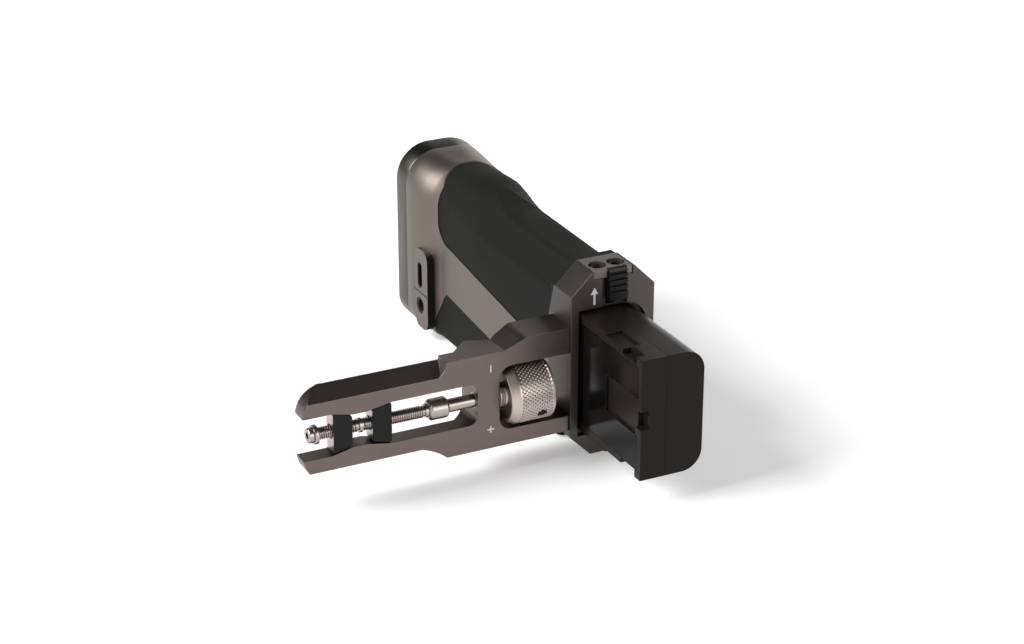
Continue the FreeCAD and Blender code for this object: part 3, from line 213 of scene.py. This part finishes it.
def make_materials(finish):
    """Every finish of the grip, named for what it really is."""
    made = MATERIALS
    # Bead-blasted, anodised aluminium: even satin metal. The grain is drawn coarser than the
    # real 0.05 mm
    made["dark_anodised_aluminium"] = grained(
        "bead_blasted_anodised_aluminium", finish.housing,
        metallic=1.0, roughness=0.48, grain_mm=0.18, depth_mm=0.006)
    made["cap_aluminium"] = grained(
        "bead_blasted_cap_aluminium", finish.cap,
        metallic=1.0, roughness=0.31, grain_mm=0.18, depth_mm=0.003)
    # The collar takes the same aluminium in a darker tone: painted shade, standing for the
    # battery's shade and dark reflection on it
    made["collar_aluminium_painted_shade"] = grained(
        "bead_blasted_aluminium_with_painted_shade", finish.collar,
        metallic=1.0, roughness=0.45, grain_mm=0.18, depth_mm=0.006)
    # The same treatment over milled faces, whose cutter marks run along the arm
    made["light_anodised_aluminium"] = grained(
        "milled_anodised_aluminium", finish.arm,
        metallic=1.0, roughness=0.37, grain_mm=0.16, depth_mm=0.006, stretch=(0.1, 1, 1))
    # Moulded silicone rubber: matt, with a fine eroded grain that breaks up the highlight
    made["grip_rubber"] = grained(
        "moulded_rubber", finish.rubber,
        metallic=0.0, roughness=0.70, grain_mm=0.45, depth_mm=0.015, spread=0.12, specular=0.08)
    # Battery shell: ABS from a spark-eroded mould, low sheen
    made["battery_plastic"] = grained(
        "moulded_abs", finish.battery,
        metallic=0.0, roughness=0.30, grain_mm=0.35, depth_mm=0.008, spread=0.08, specular=0.12)
    # Bay liner, contact block and jack: glass-filled nylon, matt black
    made["inner_plastic"] = grained(
        "glass_filled_nylon", linear("#191919"),
        metallic=0.0, roughness=0.55, grain_mm=0.3, depth_mm=0.01)
    # Stainless steel off the lathe: bright, with fine turning marks round the axis
    made["machined_steel"] = grained(
        "turned_stainless_steel", finish.steel,
        metallic=1.0, roughness=0.24, grain_mm=0.12, depth_mm=0.004, spread=0.04,
        stretch=(6, 1, 1))
    # The thumbwheel's steel is duller and warmer than the spindle's
    made["wheel_steel"] = grained(
        "knurled_steel", finish.wheel,
        metallic=1.0, roughness=0.34, grain_mm=0.15, depth_mm=0.004, spread=0.04)
    # Gold flash over nickel on the contacts
    made["contact_metal"] = grained(
        "gold_plated_contact", linear("#d9b25c"),
        metallic=1.0, roughness=0.25, grain_mm=0.2, depth_mm=0.003)
    # Epoxy glass laminate under solder mask
    made["board_laminate"] = grained(
        "solder_masked_laminate", linear("#1d4d33"),
        metallic=0.0, roughness=0.32, grain_mm=0.6, depth_mm=0.01)
    # Polypropylene label film, glossier than the shell
    made["label_film"] = grained(
        "polypropylene_label", linear("#0c0b0b"),
        metallic=0.0, roughness=0.16, grain_mm=1.5, depth_mm=0.003, specular=0.12)
    # Black oxide on steel: near black, soft sheen
    made["blackened_steel"] = grained(
        "black_oxide_steel", finish.blackened,
        metallic=0.0, roughness=0.38, grain_mm=0.25, depth_mm=0.006, specular=0.2)
    # Nickel-plated steel can of the cells
    made["cell_steel"] = grained(
        "nickel_plated_steel", linear("#a9a9ad"),
        metallic=1.0, roughness=0.3, grain_mm=0.3, depth_mm=0.004)
    # Screen-printed epoxy ink
    made["white_ink"] = grained(
        "screen_printed_ink", linear("#fbfaf7"),
        metallic=0.0, roughness=0.55, grain_mm=0.3, depth_mm=0.004, spread=0.02)


def activate(piece, *others):
    """Leaves these pieces alone selected, and the first of them active."""
    bpy.ops.object.select_all(action="DESELECT")
    for item in (piece,) + others:
        item.hide_set(False)
        item.select_set(True)
    bpy.context.view_layer.objects.active = piece


def give(piece, material):
    piece.data.materials.clear()
    piece.data.materials.append(MATERIALS[material])


def edit(piece, action="DESELECT"):
    """Opens a piece for editing and returns its mesh."""
    activate(piece)
    bpy.ops.object.mode_set(mode="EDIT")
    bpy.ops.mesh.select_all(action=action)
    return bmesh.from_edit_mesh(piece.data)


def done():
    bpy.ops.object.mode_set(mode="OBJECT")


def smooth(piece, degrees=SMOOTH):
    activate(piece)
    bpy.ops.object.shade_smooth_by_angle(angle=math.radians(degrees))


def apply(piece, kind, **settings):
    """Adds a modifier and applies it."""
    activate(piece)
    modifier = piece.modifiers.new(kind.title(), kind)
    for name, value in settings.items():
        setattr(modifier, name, value)
    bpy.ops.object.modifier_apply(modifier=modifier.name)


def bevel(piece, width, segments=2, degrees=SHARP):
    """Breaks the sharp edges."""
    apply(piece, "BEVEL", width=width, segments=segments, limit_method="ANGLE",
          angle_limit=math.radians(degrees), use_clamp_overlap=False,
          miter_outer="MITER_SHARP")


def cut(piece, tool):
    """Takes the tool's volume out of the piece, and the tool away."""
    apply(piece, "BOOLEAN", operation="DIFFERENCE", object=tool, solver="EXACT")
    bpy.data.objects.remove(tool)


def join(name, pieces):
    activate(*pieces)
    if len(pieces) > 1:
        bpy.ops.object.join()
    piece = bpy.context.active_object
    piece.name = name
    piece.data.name = name
    return piece


def seat(piece, turn, spot):
    """Turns a piece and moves it to its spot, both kept in its mesh."""
    activate(piece)
    piece.rotation_euler = turn
    piece.location = spot
    bpy.ops.object.transform_apply(location=True, rotation=True, scale=True)


def copy_of(piece):
    activate(piece)
    bpy.ops.object.duplicate()
    return bpy.context.active_object


def settle(piece, body, material, slot, *nodes):
    """Gives a finished piece its finish and its body, and hides the nodes that it stands for. The
    slot is not used.
    """
    give(piece, material)
    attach(piece, body)
    if nodes:
        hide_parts(*nodes)


def copied(name, *nodes):
    """CAD nodes as one new mesh with joined faces."""
    copies = []
    for node in nodes:
        piece = copy_of(NODES[node])
        piece.parent = None
        for key in list(piece.keys()):
            del piece[key]
        edit(piece, "SELECT")
        bpy.ops.mesh.remove_doubles(threshold=MERGE)
        done()
        if piece.data.has_custom_normals:
            bpy.ops.mesh.customdata_custom_splitnormals_clear()
        copies.append(piece)
    for other in copies[1:]:
        apply(copies[0], "BOOLEAN", operation="UNION", object=other, solver="EXACT")
        bpy.data.objects.remove(other)
    return join(name, copies[:1])


def refined(nodes, name, width=0.0, flat=1.0, degrees=SHARP, material=None, segments=2,
            cutters=(), rounds=(), soft=SMOOTH):
    """Copy of CAD nodes with broken edges and smooth curves, in the nodes' place.

    Faces that meet below the angle flat become one first, or stay as they are when it is 0.
    """
    nodes = (nodes,) if isinstance(nodes, str) else nodes
    piece = copied(name, *nodes)
    if flat:
        edit(piece, "SELECT")
        bpy.ops.mesh.dissolve_limited(angle_limit=math.radians(flat))
        done()
    for cutter in cutters:
        cut(piece, cutter)
    for offset, steps, chosen in rounds:
        rounded(piece, offset, steps, chosen)
    if width:
        bevel(piece, width, segments, degrees)
    smooth(piece, soft)
    if width:
        apply(piece, "WEIGHTED_NORMAL", keep_sharp=True, weight=90)
    slot = SLOT_OF[nodes[0]]
    settle(piece, BODY_OF[nodes[0]], material or slot, slot, *nodes)
    return piece


def rounded(piece, offset, steps, chosen):
    """Bevels the edges whose two ends the test picks, given in millimetres."""
    mesh = edit(piece)
    bpy.ops.mesh.select_mode(type="EDGE")
    for edge in mesh.edges:
        if len(edge.link_faces) == 2 and edge.calc_face_angle() > math.radians(BENT):
            edge.select = all(chosen(*(vertex.co / MM)) for vertex in edge.verts)
    bmesh.update_edit_mesh(piece.data)
    bpy.ops.mesh.bevel(offset=offset * MM, segments=steps, affect="EDGES")
    bpy.ops.mesh.select_mode(type="VERT")
    done()


def second_finish(piece, material, chosen):
    """Gives another finish to the faces that the test picks.

    The test gets each face's normal and its middle in millimetres.
    """
    piece.data.materials.append(MATERIALS[material])
    mesh = edit(piece)
    for face in mesh.faces:
        face.select = chosen(face.normal, face.calc_center_median() / MM)
    bmesh.update_edit_mesh(piece.data)
    piece.active_material_index = 1
    bpy.ops.object.material_slot_assign()
    done()


def wire(name, points):
    """Line of edges over the XZ plane, out of one vertex. Points are (x, z) in millimetres."""
    bpy.ops.object.select_all(action="DESELECT")
    bpy.ops.mesh.primitive_plane_add(size=MM)
    piece = join(name, [bpy.context.active_object])
    edit(piece, "SELECT")
    bpy.ops.mesh.merge(type="CENTER")
    x, z = points[0]
    bpy.ops.transform.translate(value=(x * MM, 0, z * MM))
    for (x0, z0), (x1, z1) in zip(points, points[1:]):
        bpy.ops.mesh.extrude_vertices_move(
            TRANSFORM_OT_translate={"value": ((x1 - x0) * MM, 0, (z1 - z0) * MM)})
    bpy.ops.mesh.select_all(action="SELECT")
    bpy.ops.mesh.remove_doubles(threshold=MERGE)
    done()
    return piece


def turned(name, points, steps=72, pitch=0.0, turns=1, hand=1):
    """Outline (x, radius) turned round X. With a pitch it climbs along X, as a thread does."""
    piece = wire(name, points)
    apply(piece, "SCREW", axis="X", angle=2 * math.pi * hand, steps=steps, render_steps=steps,
          screw_offset=pitch, iterations=turns, use_merge_vertices=True, merge_threshold=MERGE)
    edit(piece, "SELECT")
    bpy.ops.mesh.remove_doubles(threshold=MERGE)
    bpy.ops.mesh.normals_make_consistent(inside=False)
    done()
    return piece


def rod(sides, radius, start, direction, depth):
    """Prism for cutting, from a point in metres. Its radius and its depth are in millimetres."""
    direction = Vector(direction).normalized()
    bpy.ops.object.select_all(action="DESELECT")
    bpy.ops.mesh.primitive_cylinder_add(
        vertices=sides, radius=radius * MM, depth=depth * MM,
        location=Vector(start) + direction * depth * MM / 2,
        rotation=direction.to_track_quat("Z", "Y").to_euler(),
    )
    return bpy.context.active_object


def socket_screw(head, depth, shank, reach, across):
    """Cap screw along X with its socket at the origin, facing -X. Sizes are in millimetres."""
    chamfer, point, lead, bored = 0.2, 0.3, 0.1, 0.7
    piece = turned("screw", [
        (0, 0), (0, head - chamfer), (chamfer, head), (depth, head), (depth, shank),
        (reach - point, shank), (reach, shank - point), (reach, 0),
    ], 48)
    cut(piece, rod(6, across, (-lead * MM, 0, 0), (1, 0, 0), depth * bored + lead))
    bevel(piece, EDGE["screw"] * MM, degrees=TURNED_SHARP)
    return piece


def screws(node, turn, spots):
    """Copies of the node's screw at their spots, in its place."""
    model = socket_screw(*SCREWS[node])
    copies = []
    for spot in spots:
        piece = copy_of(model)
        seat(piece, turn, spot)
        copies.append(piece)
    bpy.data.objects.remove(model)
    piece = join(node + "_round", copies)
    smooth(piece)
    settle(piece, BODY_OF[node], SLOT_OF[node], SLOT_OF[node], node)


def head_inset(node):
    """From the side of an eight-sided CAD screw's box to the screw's axis."""
    return CAD_HEAD[node] * math.cos(math.radians(22.5)) * MM


def cap_screw_spots():
    low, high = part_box("cap_screws")
    inset = head_inset("cap_screws")
    return [(x, high[1], z) for x in (low[0] + inset, high[0] - inset)
            for z in (low[2] + inset, high[2] - inset)]


def printed(name, outline, face_y):
    """Flat ink on a face that looks towards -Y."""
    piece = wire(name, outline + outline[:1])
    edit(piece, "SELECT")
    bpy.ops.mesh.edge_face_add()
    bpy.ops.mesh.extrude_region_move(TRANSFORM_OT_translate={"value": (0, -INK * MM, 0)})
    bpy.ops.mesh.select_all(action="SELECT")
    bpy.ops.mesh.normals_make_consistent(inside=False)
    done()
    seat(piece, (0, 0, 0), (0, face_y, 0))
    settle(piece, "grip", "white_ink", "dark_anodised_aluminium")


def on_seam(x, y, z):
    return abs(y - SEAM_Y) < SEAM_NEAR


def on_shoulder(x, y, z):
    return any(math.hypot(x - edge_x, z - edge_z) < SHOULDER_NEAR
               for edge_x, edge_z in SHOULDERS_XZ)


def on_port_wall(normal, middle):
    """The port block's wall that looks towards the collar."""
    return normal.y < -0.45 and middle.x < -14.2 and 94 < middle.y < 99 and 4 < middle.z < 31


def on_left_face(normal, middle):
    return normal.x < -0.95


class GRIP_OT_finishes(bpy.types.Operator):
    """Makes the materials and gives every CAD node its finish"""

    bl_idname = "grip.finishes"
    bl_label = "Finishes"

    def execute(self, context):
        make_materials(context.scene.grip_finish)
        for name, node in NODES.items():
            give(node, SLOT_OF[name])
        return {"FINISHED"}


class GRIP_OT_metalwork(bpy.types.Operator):
    """Collar, housing, cap and arm with broken edges"""

    bl_idname = "grip.metalwork"
    bl_label = "Metalwork"

    def execute(self, context):
        edges = context.scene.grip_sizes.metal
        # The collar gets the darker aluminium, which is painted shade
        refined("end_collar", "collar", edges, flat=0.0, material="collar_aluminium_painted_shade")
        housing = refined("grip_housing", "housing", flat=0.0, rounds=[(*SEAM_ROUND, on_seam)])
        # The wall of the port block that looks towards the collar takes the near-black rubber
        # finish
        second_finish(housing, "grip_rubber", on_port_wall)
        # The round seats of the cap's screws: each tool starts outside the cap
        radius, lead, reach = 2.3, 0.5, 2.1
        seats = [rod(48, radius, (x, y + lead * MM, z), (0, -1, 0), reach)
                 for x, y, z in cap_screw_spots()]
        refined("far_cap", "cap", flat=0.0, material="cap_aluminium", cutters=seats,
                rounds=[(*SEAM_ROUND, on_seam)])
        refined("arm_bracket", "arm", edges, rounds=[(*SHOULDER_ROUND, on_shoulder)])
        return {"FINISHED"}


class GRIP_OT_screws(bpy.types.Operator):
    """Round socket screws where the frame has plain ones"""

    bl_idname = "grip.screws"
    bl_label = "Screws"

    def execute(self, context):
        low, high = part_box("cover_screws")
        y = (low[1] + high[1]) / 2
        inset = CAD_HEAD["cover_screws"] * MM
        screws("cover_screws", (0, math.radians(90), 0),
               [(x, y, high[2]) for x in (low[0] + inset, high[0] - inset)])
        low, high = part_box("arm_screws")
        y = (low[1] + high[1]) / 2
        inset = head_inset("arm_screws")
        screws("arm_screws", (0, 0, math.radians(180)),
               [(high[0], y, z) for z in (low[2] + inset, high[2] - inset)])
        low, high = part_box("board_screws")
        z = (low[2] + high[2]) / 2
        inset = head_inset("board_screws")
        screws("board_screws", (0, 0, math.radians(180)),
               [(high[0], y, z) for y in (low[1] + inset, high[1] - inset)])
        screws("cap_screws", (0, 0, math.radians(-90)), cap_screw_spots())
        return {"FINISHED"}


class GRIP_OT_clamp(bpy.types.Operator):
    """Knurled thumbwheel, threaded spindle and the turned pieces on it"""

    bl_idname = "grip.clamp"
    bl_label = "Clamp screw"

    def execute(self, context):
        sizes = context.scene.grip_sizes
        low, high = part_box("thumbwheel")
        axis = Vector((0, (low[1] + high[1]) / 2, (low[2] + high[2]) / 2))
        wheel = knurled_wheel(sizes.knurl)
        seat(wheel, (0, 0, 0), (low[0], axis.y, axis.z))
        # The set screw's hole: out of the axis towards the front, below the horizontal
        tilt, from_right, radius, start, depth = math.radians(32), 4, 1.56, 1.9, 8
        out = Vector((0, -math.cos(tilt), -math.sin(tilt)))
        middle = Vector((high[0] - from_right * MM, 0, 0)) + axis
        cut(wheel, rod(40, radius, middle + out * start * MM, out, depth))
        smooth(wheel, THREAD_SMOOTH)
        settle(wheel, "wheel", "wheel_steel", SLOT_OF["thumbwheel"], "thumbwheel")
        radius, top, depth = 0.8, 8.4, 1.8
        socket = rod(6, radius, middle + out * top * MM, -out, depth)
        refined("wheel_set_screw", "set_screw", EDGE["set_screw"] * MM, cutters=[socket])

        low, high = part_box("clamp_spindle")
        spindle = threaded_spindle(sizes.pitch, (high[0] - low[0]) / MM)
        seat(spindle, (0, 0, 0), (low[0], axis.y, axis.z))
        smooth(spindle, THREAD_SMOOTH)
        settle(spindle, "wheel", "machined_steel", "machined_steel", "clamp_spindle")
        for node, name in (
            ("wheel_shaft", "wheel_shaft_turned"), ("shaft_sleeve", "shaft_sleeve_turned"),
            ("spindle_ring", "spindle_ring_turned"), ("thrust_washer", "thrust_washer_turned"),
            ("shaft_bush", "bush_turned"),
        ):
            refined(node, name, EDGE["turned"] * MM, flat=0.0, degrees=TURNED_SHARP)
        # The blocks are blackened steel. Their left faces, which look towards the key lamp, take
        # the bright wheel steel: painted light
        for node, name in (("outer_wedge_block", "outer_block"),
                           ("inner_wedge_block", "inner_block")):
            block = refined(node, name, EDGE["block"] * MM, material="blackened_steel")
            second_finish(block, "wheel_steel", on_left_face)
        return {"FINISHED"}


def knurled_wheel(height):
    """Thumbwheel from its left face at x = 0, with diamonds between two smooth rims."""
    # Rows of points along the knurl and round it, the knurl's start and length, and the radii
    rows, around, start, reach, rim, bore = 26, 184, 3.15, 10.0, 9.4, 2.0
    base = rim - height / MM
    grid = [(start + reach * k / rows, base) for k in range(rows + 1)]
    wheel = turned("wheel_knurled", [
        (0.05, bore), (0.05, 3.4), (0.15, 3.5), (0.8, 3.7), (0.8, 7.2), (0.1, 7.45), (0.0, 7.6),
        (0.0, 8.05), (0.15, 8.3), (2.3, 9.3), (2.6, rim), (3.05, rim),
    ] + grid + [
        (13.25, rim), (13.9, rim), (14.1, 9.2), (14.1, bore), (0.05, bore),
    ], around)
    # In each square of four by four points two are peaks, and those beside a peak stand half as
    # high
    peaks = ((0, 0), (2, 2))
    besides = ((1, 0), (3, 0), (0, 1), (0, 3), (1, 2), (3, 2), (2, 1), (2, 3))
    for share, raised in ((1.0, peaks), (0.5, besides)):
        mesh = edit(wheel)
        for vertex in mesh.verts:
            x, radius = vertex.co.x / MM, math.hypot(vertex.co.y, vertex.co.z) / MM
            if abs(radius - base) > 0.01 or not start - 0.01 < x < start + reach + 0.01:
                continue
            i = round(math.atan2(vertex.co.z, vertex.co.y) / (2 * math.pi) * around) % 4
            j = round((x - start) / reach * rows) % 4
            vertex.select = (i, j) in raised
        bmesh.update_edit_mesh(wheel.data)
        factor = 1 + height * share / (base * MM)
        bpy.ops.transform.resize(value=(1, factor, factor), center_override=(0, 0, 0))
        done()
    return wheel


def threaded_spindle(pitch, reach):
    """Spindle from its end nut at x = 0: two opposite threads, and plain stretches between."""
    step, root, crest = pitch / MM, 1.5, 1.9
    core = turned("spindle_core", [
        (0, 0), (0, 2.15), (0.15, 2.3), (1.35, 2.3), (1.5, 2.2), (1.5, crest), (2.8, crest),
        (2.8, root), (15.6, root), (15.6, 2.2), (16.5, 2.2), (16.5, root), (36.6, root),
        (36.6, 2.0), (reach, 2.0), (reach, 0),
    ], 64)
    # The hexagonal socket in the end nut: the tool starts outside it
    radius, lead, depth = 1.1, 0.1, 1.4
    cut(core, rod(6, radius, (-lead * MM, 0, 0), (1, 0, 0), depth))
    form =[(0, root), (step * 0.4, crest), (step * 0.6, crest), (step, root)]
    threads = []
    for name, start, along, hand in (("near_thread", 2.9, 12.6, 1),
                                     ("far_thread", 16.6, 19.8, -1)):
        thread = turned(name, form, 24, pitch, round(along / step) - 1, hand)
        seat(thread, (0, 0, 0), (start * MM, 0, 0))
        threads.append(thread)
    return join("spindle", [core] + threads)


class GRIP_OT_rubber(bpy.types.Operator):
    """Rubber grips and the ring behind the collar"""

    bl_idname = "grip.rubber"
    bl_label = "Rubber"

    def execute(self, context):
        refined("upper_grip_pad", "upper_grip", flat=0.0, soft=RUBBER_SMOOTH)
        refined("lower_grip_pad", "lower_grip", flat=0.0, soft=RUBBER_SMOOTH)
        refined("neck_ring", "neck", context.scene.grip_sizes.rubber)
        return {"FINISHED"}


class GRIP_OT_latch(bpy.types.Operator):
    """Latch slider and its cover plate"""

    bl_idname = "grip.latch"
    bl_label = "Latch"

    def execute(self, context):
        refined("latch_cover", "latch_plate", EDGE["plate"] * MM)
        refined("latch_slider", "latch", EDGE["latch"] * MM, flat=0.0,
                material="blackened_steel", segments=3)
        return {"FINISHED"}


class GRIP_OT_battery(bpy.types.Operator):
    """Battery shells and label"""

    bl_idname = "grip.battery"
    bl_label = "Battery"

    def execute(self, context):
        plastic = context.scene.grip_sizes.plastic
        refined("battery_case", "battery_shell", plastic, flat=0.0)
        refined(("battery_base", "battery_lid"), "battery_foot", plastic, flat=0.0)
        refined("battery_label", "battery_film", flat=0.0)
        return {"FINISHED"}


class GRIP_OT_marks(bpy.types.Operator):
    """Printed plus, minus and arrow"""

    bl_idname = "grip.marks"
    bl_label = "Marks"

    def execute(self, context):
        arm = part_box("arm_bracket")[0][1]
        half, reach = HALF_STROKE, HALF_SIGN
        x, z = -40.0, 35.1
        printed("minus_mark", [
            (x - half, z - reach), (x + half, z - reach), (x + half, z + reach),
            (x - half, z + reach),
        ], arm)
        x, z = -40.1, 15.3
        printed("plus_mark", [
            (x - half, z - reach), (x + half, z - reach), (x + half, z - half),
            (x + reach, z - half), (x + reach, z + half), (x + half, z + half),
            (x + half, z + reach), (x - half, z + reach), (x - half, z + half),
            (x - reach, z + half), (x - reach, z - half), (x - half, z - half),
        ], arm)
        # From the arrow's tail: half the shaft's width, the head's foot, half its width, its tip
        x, z, shaft, foot, head, tip = -6.35, 49.4, 0.35, 3.4, 1.25, 5.6
        printed("open_arrow", [
            (x - shaft, z), (x + shaft, z), (x + shaft, z + foot), (x + head, z + foot),
            (x, z + tip), (x - head, z + foot), (x - shaft, z + foot),
        ], 0.0)
        return {"FINISHED"}


class GRIP_OT_ports(bpy.types.Operator):
    """Charging socket and jack"""

    bl_idname = "grip.ports"
    bl_label = "Ports"

    def execute(self, context):
        refined("usb_c_socket", "usb_shell", flat=0.0, material="blackened_steel")
        refined("remote_jack", "jack_barrel", EDGE["jack"] * MM, flat=0.0,
                degrees=TURNED_SHARP)
        return {"FINISHED"}


def seen_rays(tree):
    """One for rays of the camera, of reflections and of transmission, and nought for others."""
    rays = add(tree, "ShaderNodeLightPath")
    either = add(tree, "ShaderNodeMath",
                 [(0, rays, "Is Camera Ray"), (1, rays, "Is Glossy Ray")], operation="MAXIMUM")
    return add(tree, "ShaderNodeMath",
               [(0, either, 0), (1, rays, "Is Transmission Ray")], operation="MAXIMUM")


def white_floor():
    """Floor that keeps the object's shadow, and glows a little where it is seen."""
    metres, level = 12, 0.34
    bpy.ops.object.select_all(action="DESELECT")
    bpy.ops.mesh.primitive_plane_add(size=metres, location=(0, 0, 0))
    floor = bpy.context.active_object
    floor.name = "floor"
    material, tree = new_material("white_studio_floor")
    matt = add(tree, "ShaderNodeBsdfDiffuse", values={"Color": linear("#f4f4f4")})
    glow = add(tree, "ShaderNodeEmission", [("Strength", seen_rays(tree), 0)],
               {"Color": (level, level, level, 1)})
    both = add(tree, "ShaderNodeAddShader", [(0, matt, 0), (1, glow, 0)])
    add(tree, "ShaderNodeOutputMaterial", [("Surface", both, 0)])
    floor.data.materials.append(material)


def studio_world(scene):
    """White round the object for the camera and for what metal reflects.

    It is darker overhead, and a dark flag stands behind on the left.
    """
    world = bpy.data.worlds.new("studio")
    scene.world = world
    world.use_nodes = True
    tree = world.node_tree
    tree.nodes.clear()
    place = add(tree, "ShaderNodeTexCoord")
    split = add(tree, "ShaderNodeSeparateXYZ", [("Vector", place, "Generated")])
    overhead = add(tree, "ShaderNodeMapRange", [("Value", split, "Z")],
                   {"From Min": 0.15, "From Max": 0.8, "To Min": 1.0, "To Max": 0.08})
    towards_flag = (-0.35, 0.80, 0.48)
    side = add(tree, "ShaderNodeVectorMath", [(0, place, "Generated")], {1: towards_flag},
               operation="DOT_PRODUCT")
    flag = add(tree, "ShaderNodeMapRange", [("Value", side, "Value")],
               {"From Min": 0.68, "From Max": 0.95, "To Min": 1.0, "To Max": 0.05})
    fade = add(tree, "ShaderNodeMath", [(0, overhead, "Result"), (1, flag, "Result")],
               operation="MULTIPLY")
    white = (1, 1, 1, 1)
    light = add(tree, "ShaderNodeBackground", values={"Color": white, "Strength": 0.15})
    seen = add(tree, "ShaderNodeBackground", [("Strength", fade, 0)], {"Color": white})
    mix = add(tree, "ShaderNodeMixShader", [(0, seen_rays(tree), 0), (1, light, 0), (2, seen, 0)])
    add(tree, "ShaderNodeOutputWorld", [("Surface", mix, 0)])


def lamps():
    """A far key lamp from the left, a little behind, so that the shadow falls to the right.

    Two soft lamps help it, from the right and from the front.
    """
    target = Vector((-0.03, 0.03, 0.03))
    for name, kind, place, power, size in (
        ("key", "SUN", (-0.9, 0.2, 0.68), 3.5, math.radians(32)),
        ("right", "AREA", (0.75, 0.45, 0.5), 3.0, 0.6),
        ("front", "AREA", (0.3, -1.0, 0.4), 2.0, 0.6),
    ):
        bpy.ops.object.light_add(type=kind, location=place)
        lamp = bpy.context.active_object
        lamp.name = name
        lamp.data.energy = power
        setattr(lamp.data, "angle" if kind == "SUN" else "size", size)
        lamp.rotation_mode = "QUATERNION"
        lamp.rotation_quaternion = (target - Vector(place)).to_track_quat("-Z", "Y")


def photo_camera(scene):
    """The photo's camera."""
    settings = scene.grip_stage
    bpy.ops.object.camera_add(location=settings.place)
    camera = bpy.context.active_object
    camera.name = "camera"
    a, e = settings.azimuth, settings.elevation
    back = Vector((math.sin(a) * math.cos(e), -math.cos(a) * math.cos(e), math.sin(e)))
    camera.rotation_mode = "QUATERNION"
    camera.rotation_quaternion = (-back).to_track_quat("-Z", "Y")
    camera.data.lens = settings.lens
    camera.data.sensor_width = 36
    camera.data.clip_start = 0.01
    camera.data.clip_end = 50
    scene.camera = camera


class GRIP_OT_stage(bpy.types.Operator):
    """White floor, soft lamps and the camera"""

    bl_idname = "grip.stage"
    bl_label = "Stage"

    def execute(self, context):
        scene = context.scene
        white_floor()
        studio_world(scene)
        lamps()
        photo_camera(scene)
        scene.view_settings.view_transform = "Standard"
        return {"FINISHED"}


class GRIP_PT_panel(bpy.types.Panel):
    """Lists the grip's sizes, colours and pieces"""

    bl_idname = "GRIP_PT_panel"
    bl_label = "Battery Grip"
    bl_space_type = "VIEW_3D"
    bl_region_type = "UI"
    bl_category = "Battery Grip"

    def draw(self, context):
        scene = context.scene
        for group in (scene.grip_finish, scene.grip_sizes, scene.grip_stage):
            for name in group.__annotations__:
                self.layout.prop(group, name)
        for operator in OPERATORS:
            self.layout.operator(operator.bl_idname)


OPERATORS = (
    GRIP_OT_finishes, GRIP_OT_metalwork, GRIP_OT_screws, GRIP_OT_clamp, GRIP_OT_rubber,
    GRIP_OT_latch, GRIP_OT_battery, GRIP_OT_marks, GRIP_OT_ports, GRIP_OT_stage,
)
CLASSES = (GripFinish, GripSizes, GripStage) + OPERATORS + (GRIP_PT_panel,)


def register():
    for item in CLASSES:
        bpy.utils.register_class(item)
    bpy.types.Scene.grip_finish = bpy.props.PointerProperty(type=GripFinish)
    bpy.types.Scene.grip_sizes = bpy.props.PointerProperty(type=GripSizes)
    bpy.types.Scene.grip_stage = bpy.props.PointerProperty(type=GripStage)


def unregister():
    del bpy.types.Scene.grip_stage
    del bpy.types.Scene.grip_sizes
    del bpy.types.Scene.grip_finish
    for item in reversed(CLASSES):
        bpy.utils.unregister_class(item)


def main():
    register()
    bpy.ops.grip.finishes()
    bpy.ops.grip.metalwork()
    bpy.ops.grip.screws()
    bpy.ops.grip.clamp()
    bpy.ops.grip.rubber()
    bpy.ops.grip.latch()
    bpy.ops.grip.battery()
    bpy.ops.grip.marks()
    bpy.ops.grip.ports()
    bpy.ops.grip.stage()


if __name__ == "__main__":
    main()
